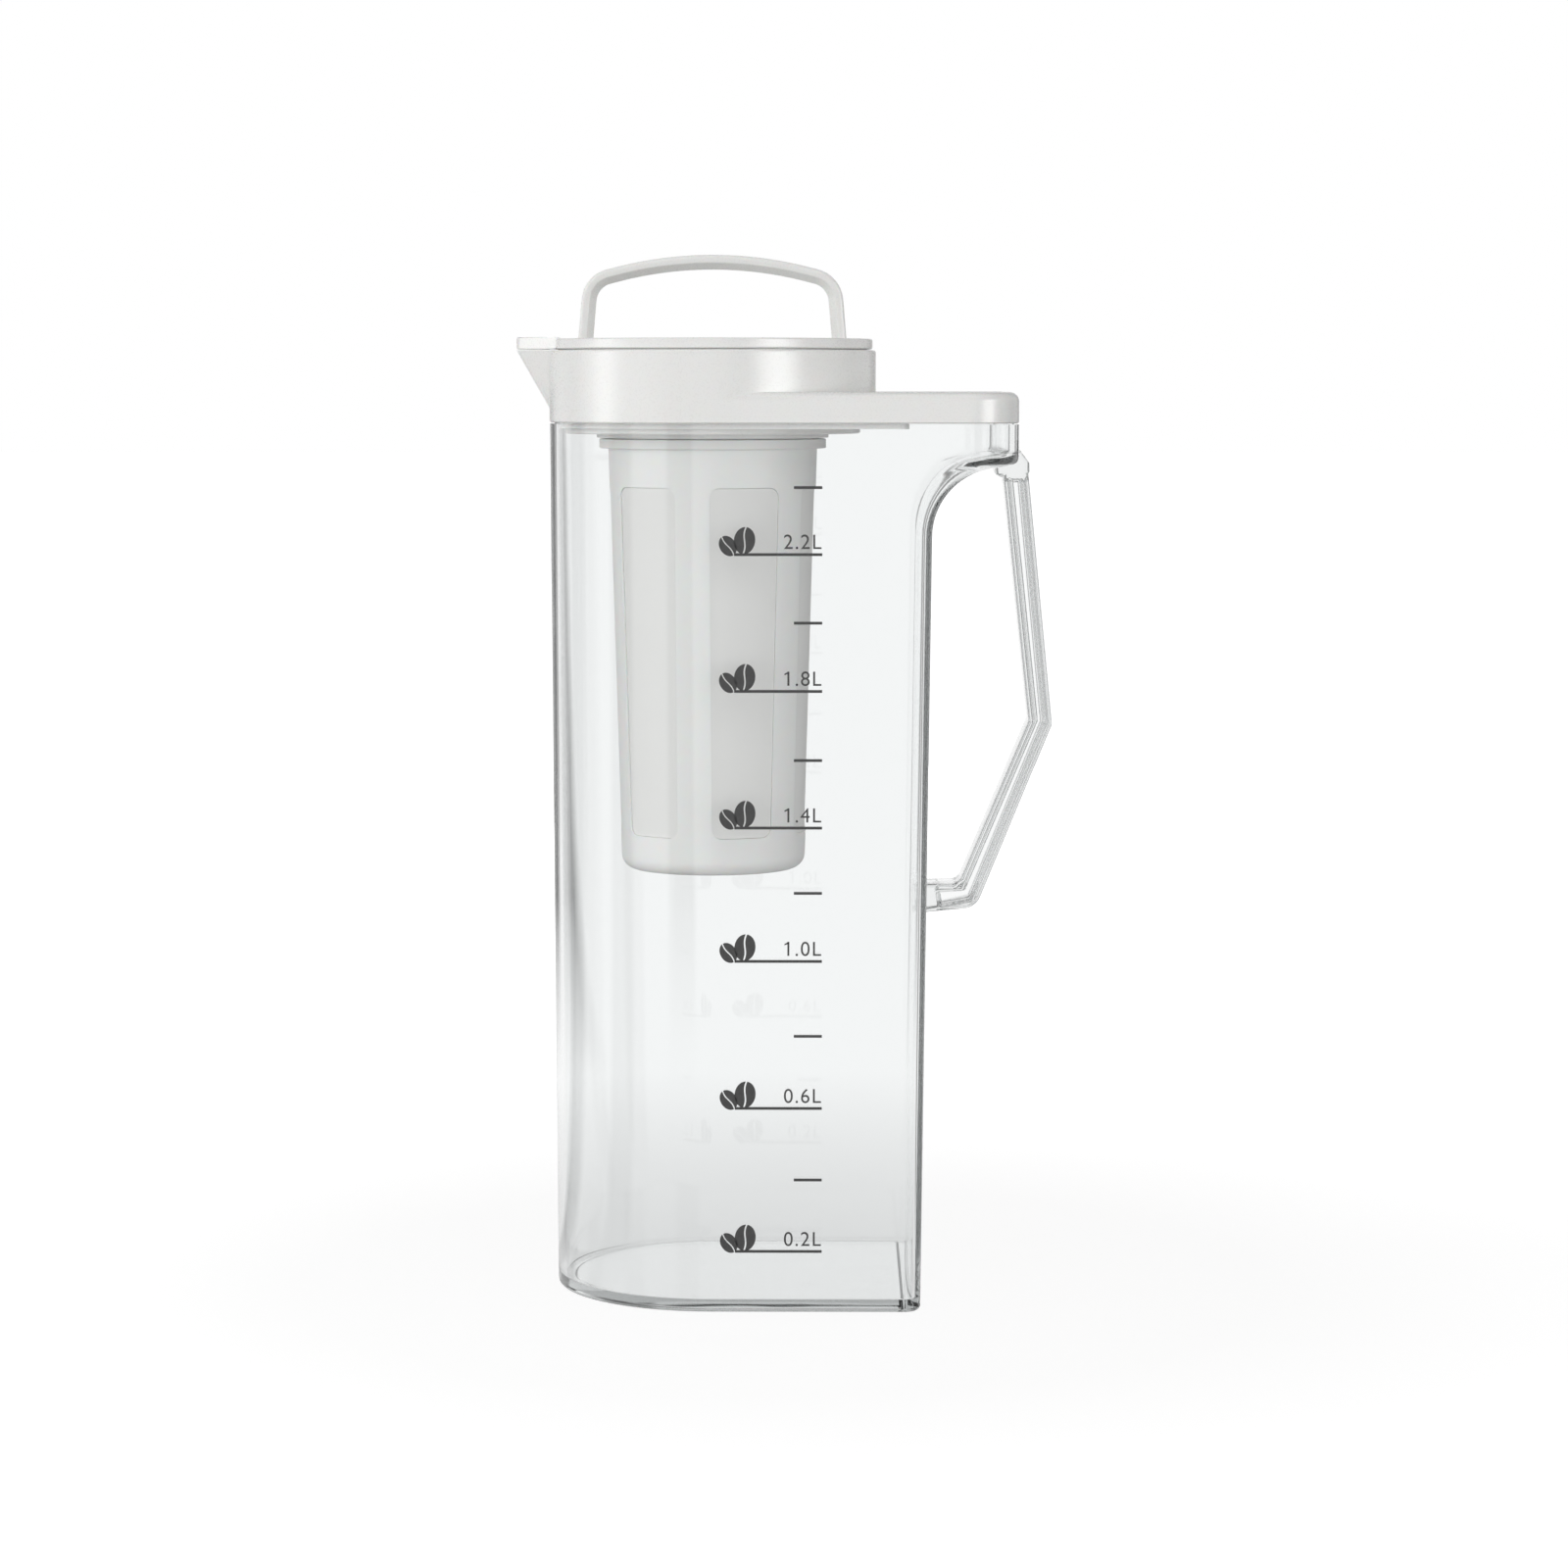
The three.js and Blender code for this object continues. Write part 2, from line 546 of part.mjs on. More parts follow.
function makeCap() {
  const disc = revolve([
    [0, CAP_FOOT],
    [DISH_OUTSIDE - CAP_EDGE, CAP_FOOT],
    [DISH_OUTSIDE, CAP_FOOT + CAP_EDGE],
    [DISH_OUTSIDE, CAP_LOW],
    [CAP_RADIUS - CAP_EDGE, CAP_LOW],
    [CAP_RADIUS, CAP_LOW + CAP_EDGE],
    [CAP_RADIUS, CAP_TOP - CAP_EDGE],
    [CAP_RADIUS - CAP_EDGE, CAP_TOP],
    [DISH_RADIUS + DISH_EDGE, CAP_TOP],
    [DISH_RADIUS + 0.3 * DISH_EDGE, CAP_TOP - 0.7 * DISH_EDGE],
    [DISH_RADIUS, DISH_LOW + DISH_EDGE],
    [DISH_RADIUS - DISH_EDGE, DISH_LOW],
    [0, DISH_LOW],
  ]);
  const notchIn = -HINGE_OUT + KNUCKLE + SEAT;
  const notch = (y0, y1) =>
    block(-CAP_RADIUS - CLEAR, notchIn, y0, y1, CAP_LOW - SEAT, CAP_TOP + CLEAR);
  const knuckle = rodY(KNUCKLE, -KNUCKLE_SPLIT, KNUCKLE_SPLIT, -HINGE_OUT, HINGE_Z);
  const hole = rodY(HINGE_PIN + SEAT, -KNUCKLE_END, KNUCKLE_END, -HINGE_OUT, HINGE_Z);
  const end = KNUCKLE_END + SEAT;
  let cap = disc.subtract(notch(KNUCKLE_SPLIT, end)).subtract(notch(-end, -KNUCKLE_SPLIT)).add(knuckle);
  for (const side of [-1, 1]) {
    const inner = LEG_OUT + SEAT;
    const span = ordered(side * inner, side * (DISH_RADIUS + OVERLAP));
    const bore = ordered(side * (inner - CLEAR), side * (DISH_RADIUS - STUB_END + SEAT));
    const ear = block(...span, -EAR_HALF, EAR_HALF, DISH_LOW - OVERLAP, CAP_TOP - SEAT);
    cap = cap.add(ear).subtract(rodX(STUB + SEAT, ...bore, PIVOT_Z));
  }
  return cap.subtract(hole);
}

function makeFlap() {
  const root = -HINGE_OUT - KNUCKLE - SEAT;
  const top = CAP_TOP + FLAP_PROUD;
  let flap = prism(spoutOutline(TURRET_TOP, root), CAP_LOW, top);
  for (const side of [-1, 1]) {
    const span = ordered(side * (KNUCKLE_SPLIT + SEAT), side * KNUCKLE_END);
    flap = flap
      .add(block(root - OVERLAP, -HINGE_OUT, ...span, HINGE_Z - KNUCKLE, top))
      .add(rodY(KNUCKLE, ...span, -HINGE_OUT, HINGE_Z));
  }
  const bore = KNUCKLE_END + CLEAR;
  return flap.subtract(rodY(HINGE_PIN + SEAT, -bore, bore, -HINGE_OUT, HINGE_Z));
}

function makePin() {
  const half = KNUCKLE_END - PIN_SHORT;
  return rodY(HINGE_PIN, -half, half, -HINGE_OUT, HINGE_Z);
}

function makePlug() {
  const grooveIn = PLUG_RADIUS - SEAL_DEPTH;
  const grooveTop = SEAL_LOW + SEAL_HEIGHT;
  const inside = PLUG_RADIUS - PLUG_WALL;
  let plug = revolve([
    [0, PLUG_ROOF],
    [SOCKET_BORE, PLUG_ROOF],
    [SOCKET_BORE, CATCH_TOP],
    [CATCH, CATCH_TOP],
    [CATCH, SOCKET_LOW],
    [SOCKET_OUTSIDE, SOCKET_LOW],
    [SOCKET_OUTSIDE, PLUG_ROOF],
    [inside, PLUG_ROOF],
    [inside, PLUG_FOOT + 0.5 * PLUG_EDGE],
    [inside + 0.3 * PLUG_EDGE, PLUG_FOOT + 0.1 * PLUG_EDGE],
    [inside + 0.7 * PLUG_EDGE, PLUG_FOOT],
    [PLUG_RADIUS - 0.3 * PLUG_EDGE, PLUG_FOOT + 0.3 * PLUG_EDGE],
    [PLUG_RADIUS, PLUG_FOOT + PLUG_EDGE],
    [PLUG_RADIUS, SEAL_LOW],
    [grooveIn, SEAL_LOW],
    [grooveIn, grooveTop],
    [PLUG_RADIUS, grooveTop],
    [PLUG_RADIUS, PLUG_TOP - CAP_EDGE],
    [PLUG_RADIUS - CAP_EDGE, PLUG_TOP],
    [0, PLUG_TOP],
  ]);
  const slotHalf = POUR_SLOT_WIDTH / 2;
  const slotLow = DECK_TOP + SEAT;
  const slotTop = PLUG_ROOF - OVERLAP;
  const slot = block(inside - CLEAR, PLUG_RADIUS + CLEAR, -slotHalf, slotHalf, slotLow, slotTop);
  for (let i = 0; i < POUR_SLOTS; i++) {
    const turn = (i - (POUR_SLOTS - 1) / 2) * POUR_SLOT_PITCH;
    plug = plug.subtract(aboutAxis(slot, Math.PI + turn));
  }
  const entryHalf = LUG_HALF + LUG_ENTRY;
  const entryTop = CATCH_TOP + OVERLAP;
  const entry = bayonetRing(CATCH - CLEAR, SOCKET_BORE, SOCKET_LOW - CLEAR, entryTop, entryHalf);
  for (let i = 0; i < LUGS; i++) plug = plug.subtract(aboutAxis(entry, lugAngle(i) + TWIST));
  return plug;
}

const lugAngle = (i) => (2 * Math.PI * i) / LUGS;

// Part of a ring as wide as a bayonet lug, on the +X side.
function bayonetRing(inner, outer, low, high, half) {
  const ring = revolve([
    [inner, low],
    [outer, low],
    [outer, high],
    [inner, high],
  ]);
  return ring.intersect(block(0, outer + CLEAR, -half, half, low - CLEAR, high + CLEAR));
}

function makeSeal() {
  const inner = PLUG_RADIUS - SEAL_DEPTH + SEAT;
  const outer = BORE - SEAL_FIT;
  const low = SEAL_LOW + SEAT;
  const high = SEAL_LOW + SEAL_HEIGHT - SEAT;
  return revolve([
    [inner, low],
    [outer - SEAL_DIP, low],
    [outer, low + SEAL_BEAD],
    [outer - SEAL_DIP, (low + high) / 2],
    [outer, high - SEAL_BEAD],
    [outer - SEAL_DIP, high],
    [inner, high],
  ]);
}

// Carry handle: line through its middle, from the pivot up a leg and over the grip.
function makeBail() {
  const grip = BAIL_TOP - BAIL_HALF;
  const shoulder = grip - BAIL_CROWN;
  const legTop = BAIL_FOOT - BAIL_LEAN;
  const half = [
    [BAIL_FOOT, PIVOT_Z],
    [BAIL_FOOT - 0.4 * BAIL_LEAN, THREE.MathUtils.lerp(PIVOT_Z, shoulder, 0.3)],
    [legTop, shoulder - BAIL_ROUND],
    [legTop - 0.2 * BAIL_ROUND, shoulder - 0.35 * BAIL_ROUND],
    [legTop - 0.8 * BAIL_ROUND, shoulder],
    [0.42 * legTop, grip - 0.26 * BAIL_CROWN],
  ];
  const line = [
    ...half.map(([x, z]) => new THREE.Vector3(-x, 0, z)),
    new THREE.Vector3(0, 0, grip),
    ...half.reverse().map(([x, z]) => new THREE.Vector3(x, 0, z)),
  ];
  const section = new THREE.Shape();
  section.absellipse(0, 0, BAIL_DEPTH, BAIL_HALF, 0, 2 * Math.PI, false, 0);
  const arch = new THREE.ExtrudeGeometry(section, {
    steps: BAIL_STEPS,
    curveSegments: 6,
    extrudePath: new THREE.CatmullRomCurve3(line),
  });
  let bail = solid(arch);
  for (const side of [-1, 1]) {
    const boss = ordered(side * (BAIL_FOOT - BAIL_HALF), side * LEG_OUT);
    const stub = ordered(side * (LEG_OUT - OVERLAP), side * (DISH_RADIUS - STUB_END));
    bail = bail.add(rodX(BAIL_DEPTH, ...boss, PIVOT_Z)).add(rodX(STUB, ...stub, PIVOT_Z));
  }
  return bail;
}

const basketRadius = (z) =>
  THREE.MathUtils.mapLinear(z, BASKET_FOOT, FLANGE_LOW, BASKET_BASE, BASKET_TOP);

// Window cutter: rounded trapezium pushed outwards through the basket wall.
function windowCutter(angle, inset = 0) {
  const half = (z) => (basketRadius(z) * 2 * Math.PI) / WINDOWS / 2 - RIB / 2 - inset;
  const round = WINDOW_ROUND - inset;
  const shape = rounded([
    [-half(WINDOW_LOW), WINDOW_LOW + inset, round],
    [half(WINDOW_LOW), WINDOW_LOW + inset, round],
    [half(WINDOW_TOP), WINDOW_TOP - inset, round],
    [-half(WINDOW_TOP), WINDOW_TOP - inset, round],
  ]);
  const start = BASKET_BASE / 2;
  const depth = FLANGE_RADIUS - start;
  const geometry = new THREE.ExtrudeGeometry(shape, { depth, bevelEnabled: false, curveSegments: 3 });
  const outward = new THREE.Vector3(Math.cos(angle), Math.sin(angle), 0);
  const along = new THREE.Vector3(-Math.sin(angle), Math.cos(angle), 0);
  const turn = new THREE.Matrix4().makeBasis(along, new THREE.Vector3(0, 0, 1), outward);
  turn.setPosition(outward.multiplyScalar(start));
  return solid(geometry.applyMatrix4(turn));
}

const windowAngle = (i) => FIRST_WINDOW + (2 * Math.PI * i) / WINDOWS;

function makeBasket() {
  const curve = BASKET_ROUND;
  const wallFoot = basketRadius(BASKET_FOOT + curve);
  const inner = (r) => r - BASKET_WALL;
  let basket = revolve([
    [0, BASKET_FOOT],
    [wallFoot - curve, BASKET_FOOT],
    [wallFoot - 0.45 * curve, BASKET_FOOT + 0.12 * curve],
    [wallFoot - 0.12 * curve, BASKET_FOOT + 0.45 * curve],
    [wallFoot, BASKET_FOOT + curve],
    [BASKET_TOP, FLANGE_LOW],
    [FLANGE_RADIUS - FLANGE_EDGE, FLANGE_LOW],
    [FLANGE_RADIUS, FLANGE_LOW + FLANGE_EDGE],
    [FLANGE_RADIUS, FLANGE_TOP],
    [NECK, FLANGE_TOP],
    [NECK, NECK_TOP],
    [NECK - NECK_WALL, NECK_TOP],
    [inner(BASKET_TOP), FLANGE_LOW],
    [inner(wallFoot), BASKET_FOOT + curve],
    [inner(wallFoot) - 0.6 * curve, BASKET_FOOT + BASKET_WALL],
    [0, BASKET_FOOT + BASKET_WALL],
  ]);
  const lug = bayonetRing(NECK - OVERLAP, LUG_RADIUS, LUG_LOW, LUG_LOW + LUG_HEIGHT, LUG_HALF);
  for (let i = 0; i < LUGS; i++) basket = basket.add(aboutAxis(lug, lugAngle(i)));
  for (let i = 0; i < WINDOWS; i++) basket = basket.subtract(windowCutter(windowAngle(i)));
  return basket;
}

function makeScreen(i) {
  const low = WINDOW_LOW - CLEAR;
  const high = WINDOW_TOP + CLEAR;
  const outer = (z) => basketRadius(z) - (BASKET_WALL - MESH_THICK) / 2;
  const sleeve = revolve([
    [outer(low) - MESH_THICK, low],
    [outer(low), low],
    [outer(high), high],
    [outer(high) - MESH_THICK, high],
  ]);
  return sleeve.intersect(windowCutter(windowAngle(i), MESH_GAP));
}

// Assembly

const finish = (color, roughness, extra = {}) =>
  new THREE.MeshStandardMaterial({ color, roughness, metalness: 0, ...extra });
const clear = finish(0xe6eaeb, 0.06, { transparent: true, opacity: 0.35 });
const white = finish(0xf2f2f0, 0.35);
const frosted = finish(0xececea, 0.45);
const rubber = finish(0xdedfdd, 0.7);
const screen = finish(0xd9dada, 0.8);
const steel = finish(0xb9bcbf, 0.3);
steel.metalness = 1;

const pitcher = new THREE.Group();
pitcher.name = "cold_brew_pitcher";
pitcher.position.x = (SPOUT_REACH - HANDLE_REACH) / 2;

function place(name, body, material) {
  const made = body.getMesh();
  const geometry = new THREE.BufferGeometry();
  const positions = new Float32Array(made.vertProperties);
  geometry.setAttribute("position", new THREE.BufferAttribute(positions, 3));
  geometry.setIndex(new THREE.BufferAttribute(new Uint32Array(made.triVerts), 1));
  geometry.computeVertexNormals();
  const mesh = new THREE.Mesh(geometry, material);
  mesh.name = name;
  pitcher.add(mesh);
}

place("jug_body", makeJug(), clear);
place("side_handle", makeHandle(makeJugTrim()), clear);
place("spout_collar", makeCollar(), white);
place("collar_gasket", makeGasket(), rubber);
place("lid_cap", makeCap(), white);
place("lid_plug", makePlug(), white);
place("lid_seal", makeSeal(), rubber);
place("spout_flap", makeFlap(), white);
place("flap_pin", makePin(), steel);
place("carry_handle", makeBail(), white);
place("basket_frame", makeBasket(), frosted);
for (let i = 0; i < WINDOWS; i++) place(`basket_mesh_${i + 1}`, makeScreen(i), screen);

export default pitcher;
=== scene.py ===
import math

import bmesh
import bpy
from bpy.props import FloatProperty, FloatVectorProperty, IntProperty, PointerProperty
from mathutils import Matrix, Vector


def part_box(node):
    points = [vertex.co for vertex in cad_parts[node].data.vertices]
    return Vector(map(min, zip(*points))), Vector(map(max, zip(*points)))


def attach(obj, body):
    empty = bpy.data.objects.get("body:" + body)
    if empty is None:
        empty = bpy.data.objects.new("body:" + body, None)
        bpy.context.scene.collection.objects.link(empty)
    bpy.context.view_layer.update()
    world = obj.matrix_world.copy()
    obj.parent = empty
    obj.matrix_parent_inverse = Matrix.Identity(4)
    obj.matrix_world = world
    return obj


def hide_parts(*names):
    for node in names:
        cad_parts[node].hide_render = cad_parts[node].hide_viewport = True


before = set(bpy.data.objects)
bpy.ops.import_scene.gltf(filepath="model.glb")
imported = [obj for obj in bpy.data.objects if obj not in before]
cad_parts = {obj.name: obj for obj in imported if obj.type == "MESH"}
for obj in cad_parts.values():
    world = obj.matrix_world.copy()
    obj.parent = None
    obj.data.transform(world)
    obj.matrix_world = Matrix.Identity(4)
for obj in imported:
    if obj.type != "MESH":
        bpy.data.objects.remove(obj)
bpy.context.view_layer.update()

bl_info = {
    "name": "Cold Brew Pitcher",
    "version": (1, 0, 0),
    "blender": (4, 5, 0),
    "location": "View3D > Sidebar > Pitcher",
    "description": "Dresses the packed solids of a cold brew pitcher with smooth pieces and finishes",
    "category": "Object",
}

AXIS_X = (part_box("lid_plug")[0].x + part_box("lid_plug")[1].x) / 2  # lid axis in the frame
MM = 0.001
TURN = 2 * math.pi
JOIN = 1e-6  # points closer than this are one
NEARLY = 1e-3  # corners straighter than this angle aren't rounded
PAST = 2 * MM  # cutting shapes run past the faces they cut by this much
SKIM = 0.02 * MM  # keeps two walls of one piece from lying in the same place
LAP = 0.5 * MM  # shapes that grow together reach into each other by this much
LEAST_CORNER = 0.8 * MM  # smallest corner radius of a plan
FINE = 0.2 * MM  # radii along small edges
SMALL = 0.3 * MM
SOFT = 0.4 * MM
HANDLE = ("white_carry_handle",)  # has a lamp of its own
WHITE = (1, 1, 1, 1)
BLACK = (0, 0, 0, 1)
ROUND_STEPS = 64  # facets in half a turn
CORNER_STEPS = 8
FLARE_STEPS = 14
EDGE_STEPS = 5
BEAN_STEPS = 40
FLAG_COUNT = 8
CAPITAL = 0.7  # height of a capital to the size of the font
# lines of the scale above the base in millimetres: every 0.2 litre, the first and every other one long
LINE_LEVELS = (18.6, 40.2, 61.75, 83.4, 105.8, 126.1, 145.5, 165.5, 185.9, 206.0, 226.1, 245.7)


def linear(code):
    """Turns an sRGB hex colour into linear red, green, blue and alpha."""
    channels = [int(code[i : i + 2], 16) / 255 for i in (0, 2, 4)]
    return [c / 12.92 if c <= 0.04045 else ((c + 0.055) / 1.055) ** 2.4 for c in channels] + [1.0]


def length(name, description, millimetres):
    return FloatProperty(
        name=name, description=description, default=millimetres * MM, unit="LENGTH", precision=5
    )


def slant(name, description, degrees):
    return FloatProperty(
        name=name, description=description, default=math.radians(degrees), subtype="ANGLE"
    )


def tint(name, description, code):
    return FloatVectorProperty(
        name=name, description=description, default=linear(code), size=4, subtype="COLOR", min=0, max=1
    )


def amount(name, description, value):
    return FloatProperty(name=name, description=description, default=value)


def count(name, description, number):
    return IntProperty(name=name, description=description, default=number)


class JugSizes(bpy.types.PropertyGroup):
    shoulder: length("Shoulder", "Base to the shoulder that carries the pour lid", 264)
    rim_top: length("Rim top", "Base to the top of the thinned rim", 269.6)
    rim_step: length("Rim step", "How far the rim stands in from the wall", 1.4)
    base_round: length("Base round", "Radius of the spout side at the base", 48)
    top_round: length("Top round", "Radius of the spout side at the shoulder", 49.5)
    base_flat: length("Base flat", "Lid axis to the flat wall at the base", 62.8)
    top_flat: length("Top flat", "Lid axis to the flat wall where the flare begins", 65.6)
    flat_corner: length("Flat corner", "Corner radius at the flat wall", 5)
    flare_start: length("Flare start", "Base to the start of the flare", 231)
    flare_radius: length("Flare radius", "Radius of the flare", 20)
    flare_slope: slant("Flare slope", "Rise of the shelf beyond the flare", 11)
    shelf_end: length("Shelf end", "Lid axis to the end of the shelf", 91.4)
    shelf_corner: length("Shelf corner", "Corner radius of the shelf", 15)
    shelf_edge: length("Shelf edge", "Bend between the shelf and its end wall", 2)
    wall: length("Wall", "Thickness of the wall", 2.4)
    floor: length("Floor", "Thickness of the floor", 3.6)
    floor_fillet: length("Floor fillet", "Bend between the floor and the wall inside", 0.4)
    foot_rim: length("Foot rim", "Width of the rim that the jug stands on", 5)
    foot_recess: length("Foot recess", "Height of the hollow under the floor", 0.8)
    foot_edge: length("Foot edge", "Bend between the wall and the foot", 1.4)


class SideHandleSizes(bpy.types.PropertyGroup):
    width: length("Width", "Handle width from front to back", 18)
    flange: length("Flange", "Thickness of the inner and outer flanges", 2.1)
    groove_round: length("Groove round", "Radius at the bottom of the grooves", 1.3)
    flange_round: length("Flange round", "Radius along the mouth of the grooves", 0.7)
    web: length("Web", "Thickness of the middle web", 3)
    bar: length("Bar", "Bar thickness at its ends", 7.8)
    knee_bar: length("Knee bar", "Bar thickness at the knee", 7.1)
    foot_bar: length("Foot bar", "Bar thickness at the wall", 9)
    head_top: length("Head top", "Base to the top of the head", 256.4)
    head_depth: length("Head depth", "Height of the head", 8.6)
    head_out: length("Head out", "How far the head stands past the shelf", 4.6)
    knee_reach: length("Knee reach", "Lid axis to the outside of the knee", 103.1)
    knee_height: length("Knee height", "Base to the knee", 173.4)
    elbow_reach: length("Elbow reach", "Lid axis to the middle of the elbow", 77.6)
    elbow_height: length("Elbow height", "Base to the middle of the elbow", 120.5)
    elbow_round: length("Elbow round", "Outer radius at the elbow", 6)
    foot_drop: length("Foot drop", "Fall from the elbow to the wall", 1.2)
    bond: length("Bond", "Gap at the bonded faces", 0.3)
    edge: length("Edge", "Radius along the edges of the bar", 1.5)


class PourLidSizes(bpy.types.PropertyGroup):
    skirt_low: length("Skirt low", "Base to the lower edge of the skirt", 264.3)
    skirt: length("Skirt", "Thickness of the skirt", 1.1)
    deck_low: length("Deck low", "Base to the underside of the deck", 271.5)
    deck_top: length("Deck top", "Base to the top of the deck", 273.5)
    deck_edge: length("Deck edge", "Radius along the edge of the deck", 2.8)
    turret_top: length("Turret top", "Base to the top of the turret", 286)
    turret_bore: length("Turret bore", "Radius inside the turret", 47.3)
    turret_edge: length("Turret edge", "Radius along the top of the turret", 0.8)
    bore: length("Bore", "Radius of the hole for the plug", 45.4)
    lip_low: length("Lip low", "Base to the lower edge of the locating lip", 262.7)
    lip_round: length("Lip round", "Radius of the lip on the spout side", 46.8)
    lip_end: length("Lip end", "Lid axis to the flat end of the lip", 58.8)
    lip_wall: length("Lip wall", "Thickness of the lip", 1.4)
    spout_foot: length("Spout foot", "Base to the foot of the spout", 267.5)
    spout_reach: length("Spout reach", "Lid axis to the tip of the spout", 59.4)
    spout_half: length("Spout half width", "Half width where the spout leaves the turret", 12)
    spout_tip: length("Spout tip", "Radius of the tip", 3.5)
    spout_wall: length("Spout wall", "Wall of the spout", 2.1)


class LidSizes(bpy.types.PropertyGroup):
    cap_radius: length("Cap radius", "Radius of the cap", 48.5)
    cap_low: length("Cap low", "Base to the underside of the cap's rim", 286.3)
    cap_top: length("Cap top", "Base to the top of the cap", 289.4)
    cap_edge: length("Cap edge", "Radius along the cap's rim", 0.6)
    dish_radius: length("Dish radius", "Radius of the dish", 45)
    dish_outside: length("Dish outside", "Radius of the dish from outside", 46.8)
    dish_low: length("Dish low", "Base to the floor of the dish", 282.6)
    dish_edge: length("Dish edge", "Radius round the floor of the dish", 1)
    cap_foot: length("Cap foot", "Base to the underside of the dish", 281)
    hinge_out: length("Hinge out", "Lid axis to the hinge axis", 47.6)
    hinge_height: length("Hinge height", "Base to the hinge axis", 288.2)
    knuckle: length("Knuckle", "Radius of the hinge knuckles", 1.8)
    knuckle_split: length("Knuckle split", "Half length of the cap's own knuckle", 4.2)
    knuckle_end: length("Knuckle end", "Half length of the whole hinge", 12.75)
    pin: length("Pin", "Radius of the hinge pin", 0.8)
    pin_hole: length("Pin hole", "Radius of the hole for the pin", 1.1)
    pin_reach: length("Pin reach", "Half length of the hole for the pin", 9.4)
    hinge_gap: length("Hinge gap", "Gap round the knuckles", 0.15)
    flap_top: length("Flap top", "Base to the top of the flap", 289.9)
    gap: length("Gap", "Gap between pieces that move", 0.3)
    plug_radius: length("Plug radius", "Radius of the plug", 44.8)
    plug_wall: length("Plug wall", "Thickness of the plug's skirt", 2.2)
    plug_foot: length("Plug foot", "Base to the lower edge of the plug", 261)
    plug_top: length("Plug top", "Base to the top of the plug", 280.7)
    plug_roof: length("Plug roof", "Base to the ceiling in the plug", 279.2)
    plug_edge: length("Plug edge", "Radius along the plug's lower edge", 0.6)
    seal_low: length("Seal low", "Base to the lower side of the seal groove", 265.2)
    seal_height: length("Seal height", "Height of the seal groove", 3.6)
    seal_depth: length("Seal depth", "Depth of the seal groove", 1.4)
    seal_reach: length("Seal reach", "Radius over the seal's beads", 45.15)
    socket_bore: length("Socket bore", "Radius inside the basket's socket", 33.4)
    socket_outside: length("Socket outside", "Radius outside the socket", 35.2)
    socket_low: length("Socket low", "Base to the lower edge of the socket", 259.7)
    catch_radius: length("Catch radius", "Radius inside the catch that the lugs rest on", 31.9)
    catch_top: length("Catch top", "Base to the top of the catch", 263.4)
    pour_slots: count("Pour slots", "Slots in the plug that face the spout", 5)
    pour_slot: length("Pour slot", "Width of a pour slot", 4.6)
    pour_pitch: slant("Pour pitch", "Angle between the pour slots", 9)


class CarryHandleSizes(bpy.types.PropertyGroup):
    foot_reach: length("Foot reach", "Lid axis to the middle of a leg at its pivot", 38.7)
    pivot_height: length("Pivot height", "Base to the pivots", 286)
    top: length("Top", "Base to the top of the grip", 314.7)
    crown: length("Crown", "Fall of the grip from its middle to its shoulders", 4.2)
    shoulder_reach: length("Shoulder reach", "Lid axis to where the crown is measured", 30.9)
    lean: length("Lean", "How far each leg leans in", 1.8)
    bend: length("Bend", "Radius of the line through the shoulders", 8)
    half: length("Half thickness", "Half thickness seen from the front", 2.2)
    depth: length("Half depth", "Half thickness from front to back", 3)
    edge: length("Edge", "Radius along the bar's outer edges", 1.2)
    chamfer: length("Chamfer", "Chamfer along the bar's inner edges", 2)
    inner_flat: length("Inner flat", "Half width of the flat left on the bar's inner side", 0.45)
    stub: length("Stub", "Radius of the pivots", 1.5)
    stub_end: length("Stub end", "Lid axis to the end of a pivot", 44.4)
    ear: length("Ear", "Half width of the cap's ears", 3.2)


class BasketSizes(bpy.types.PropertyGroup):
    top: length("Top radius", "Radius under the flange", 31.7)
    base: length("Base radius", "Radius at the foot", 27.9)
    foot: length("Foot", "Base of the jug to the foot of the basket", 128.5)
    foot_round: length("Foot round", "Bend between the wall and the foot", 4.4)
    wall: length("Wall", "Thickness of the wall", 1.6)
    flange_low: length("Flange low", "Base of the jug to the underside of the flange", 256.5)
    flange_top: length("Flange top", "Base of the jug to the top of the flange", 259.4)
    flange_radius: length("Flange radius", "Radius of the flange", 34.4)
    neck: length("Neck", "Radius of the neck", 31.5)
    neck_wall: length("Neck wall", "Thickness of the neck", 1.4)
    neck_top: length("Neck top", "Base of the jug to the top of the neck", 266.5)
    lugs: count("Lugs", "Bayonet lugs on the neck", 3)
    lug_reach: length("Lug reach", "Radius over the lugs", 33)
    lug_half: length("Lug half width", "Half width of a lug", 7)
    lug_low: length("Lug low", "Base of the jug to the underside of the lugs", 263.7)
    lug_height: length("Lug height", "Height of a lug", 2.2)
    entry: length("Entry", "How much wider the entry slots are, each side", 1)
    twist: slant("Twist", "Turn that frees the basket", 45)
    windows: count("Windows", "Windows round the basket", 6)
    first_window: slant("First window", "Direction of the first window from the X axis", -70)
    window_low: length("Window low", "Base of the jug to the foot of the windows", 139.9)
    window_top: length("Window top", "Base of the jug to the top of the windows", 245)
    rib: length("Rib", "Width of the ribs between the windows", 10.8)
    window_round: length("Window round", "Corner radius of the windows", 3)
    screen: length("Screen", "Thickness of the screens", 0.6)
    screen_gap: length("Screen gap", "Gap round a screen in its window", 0.1)


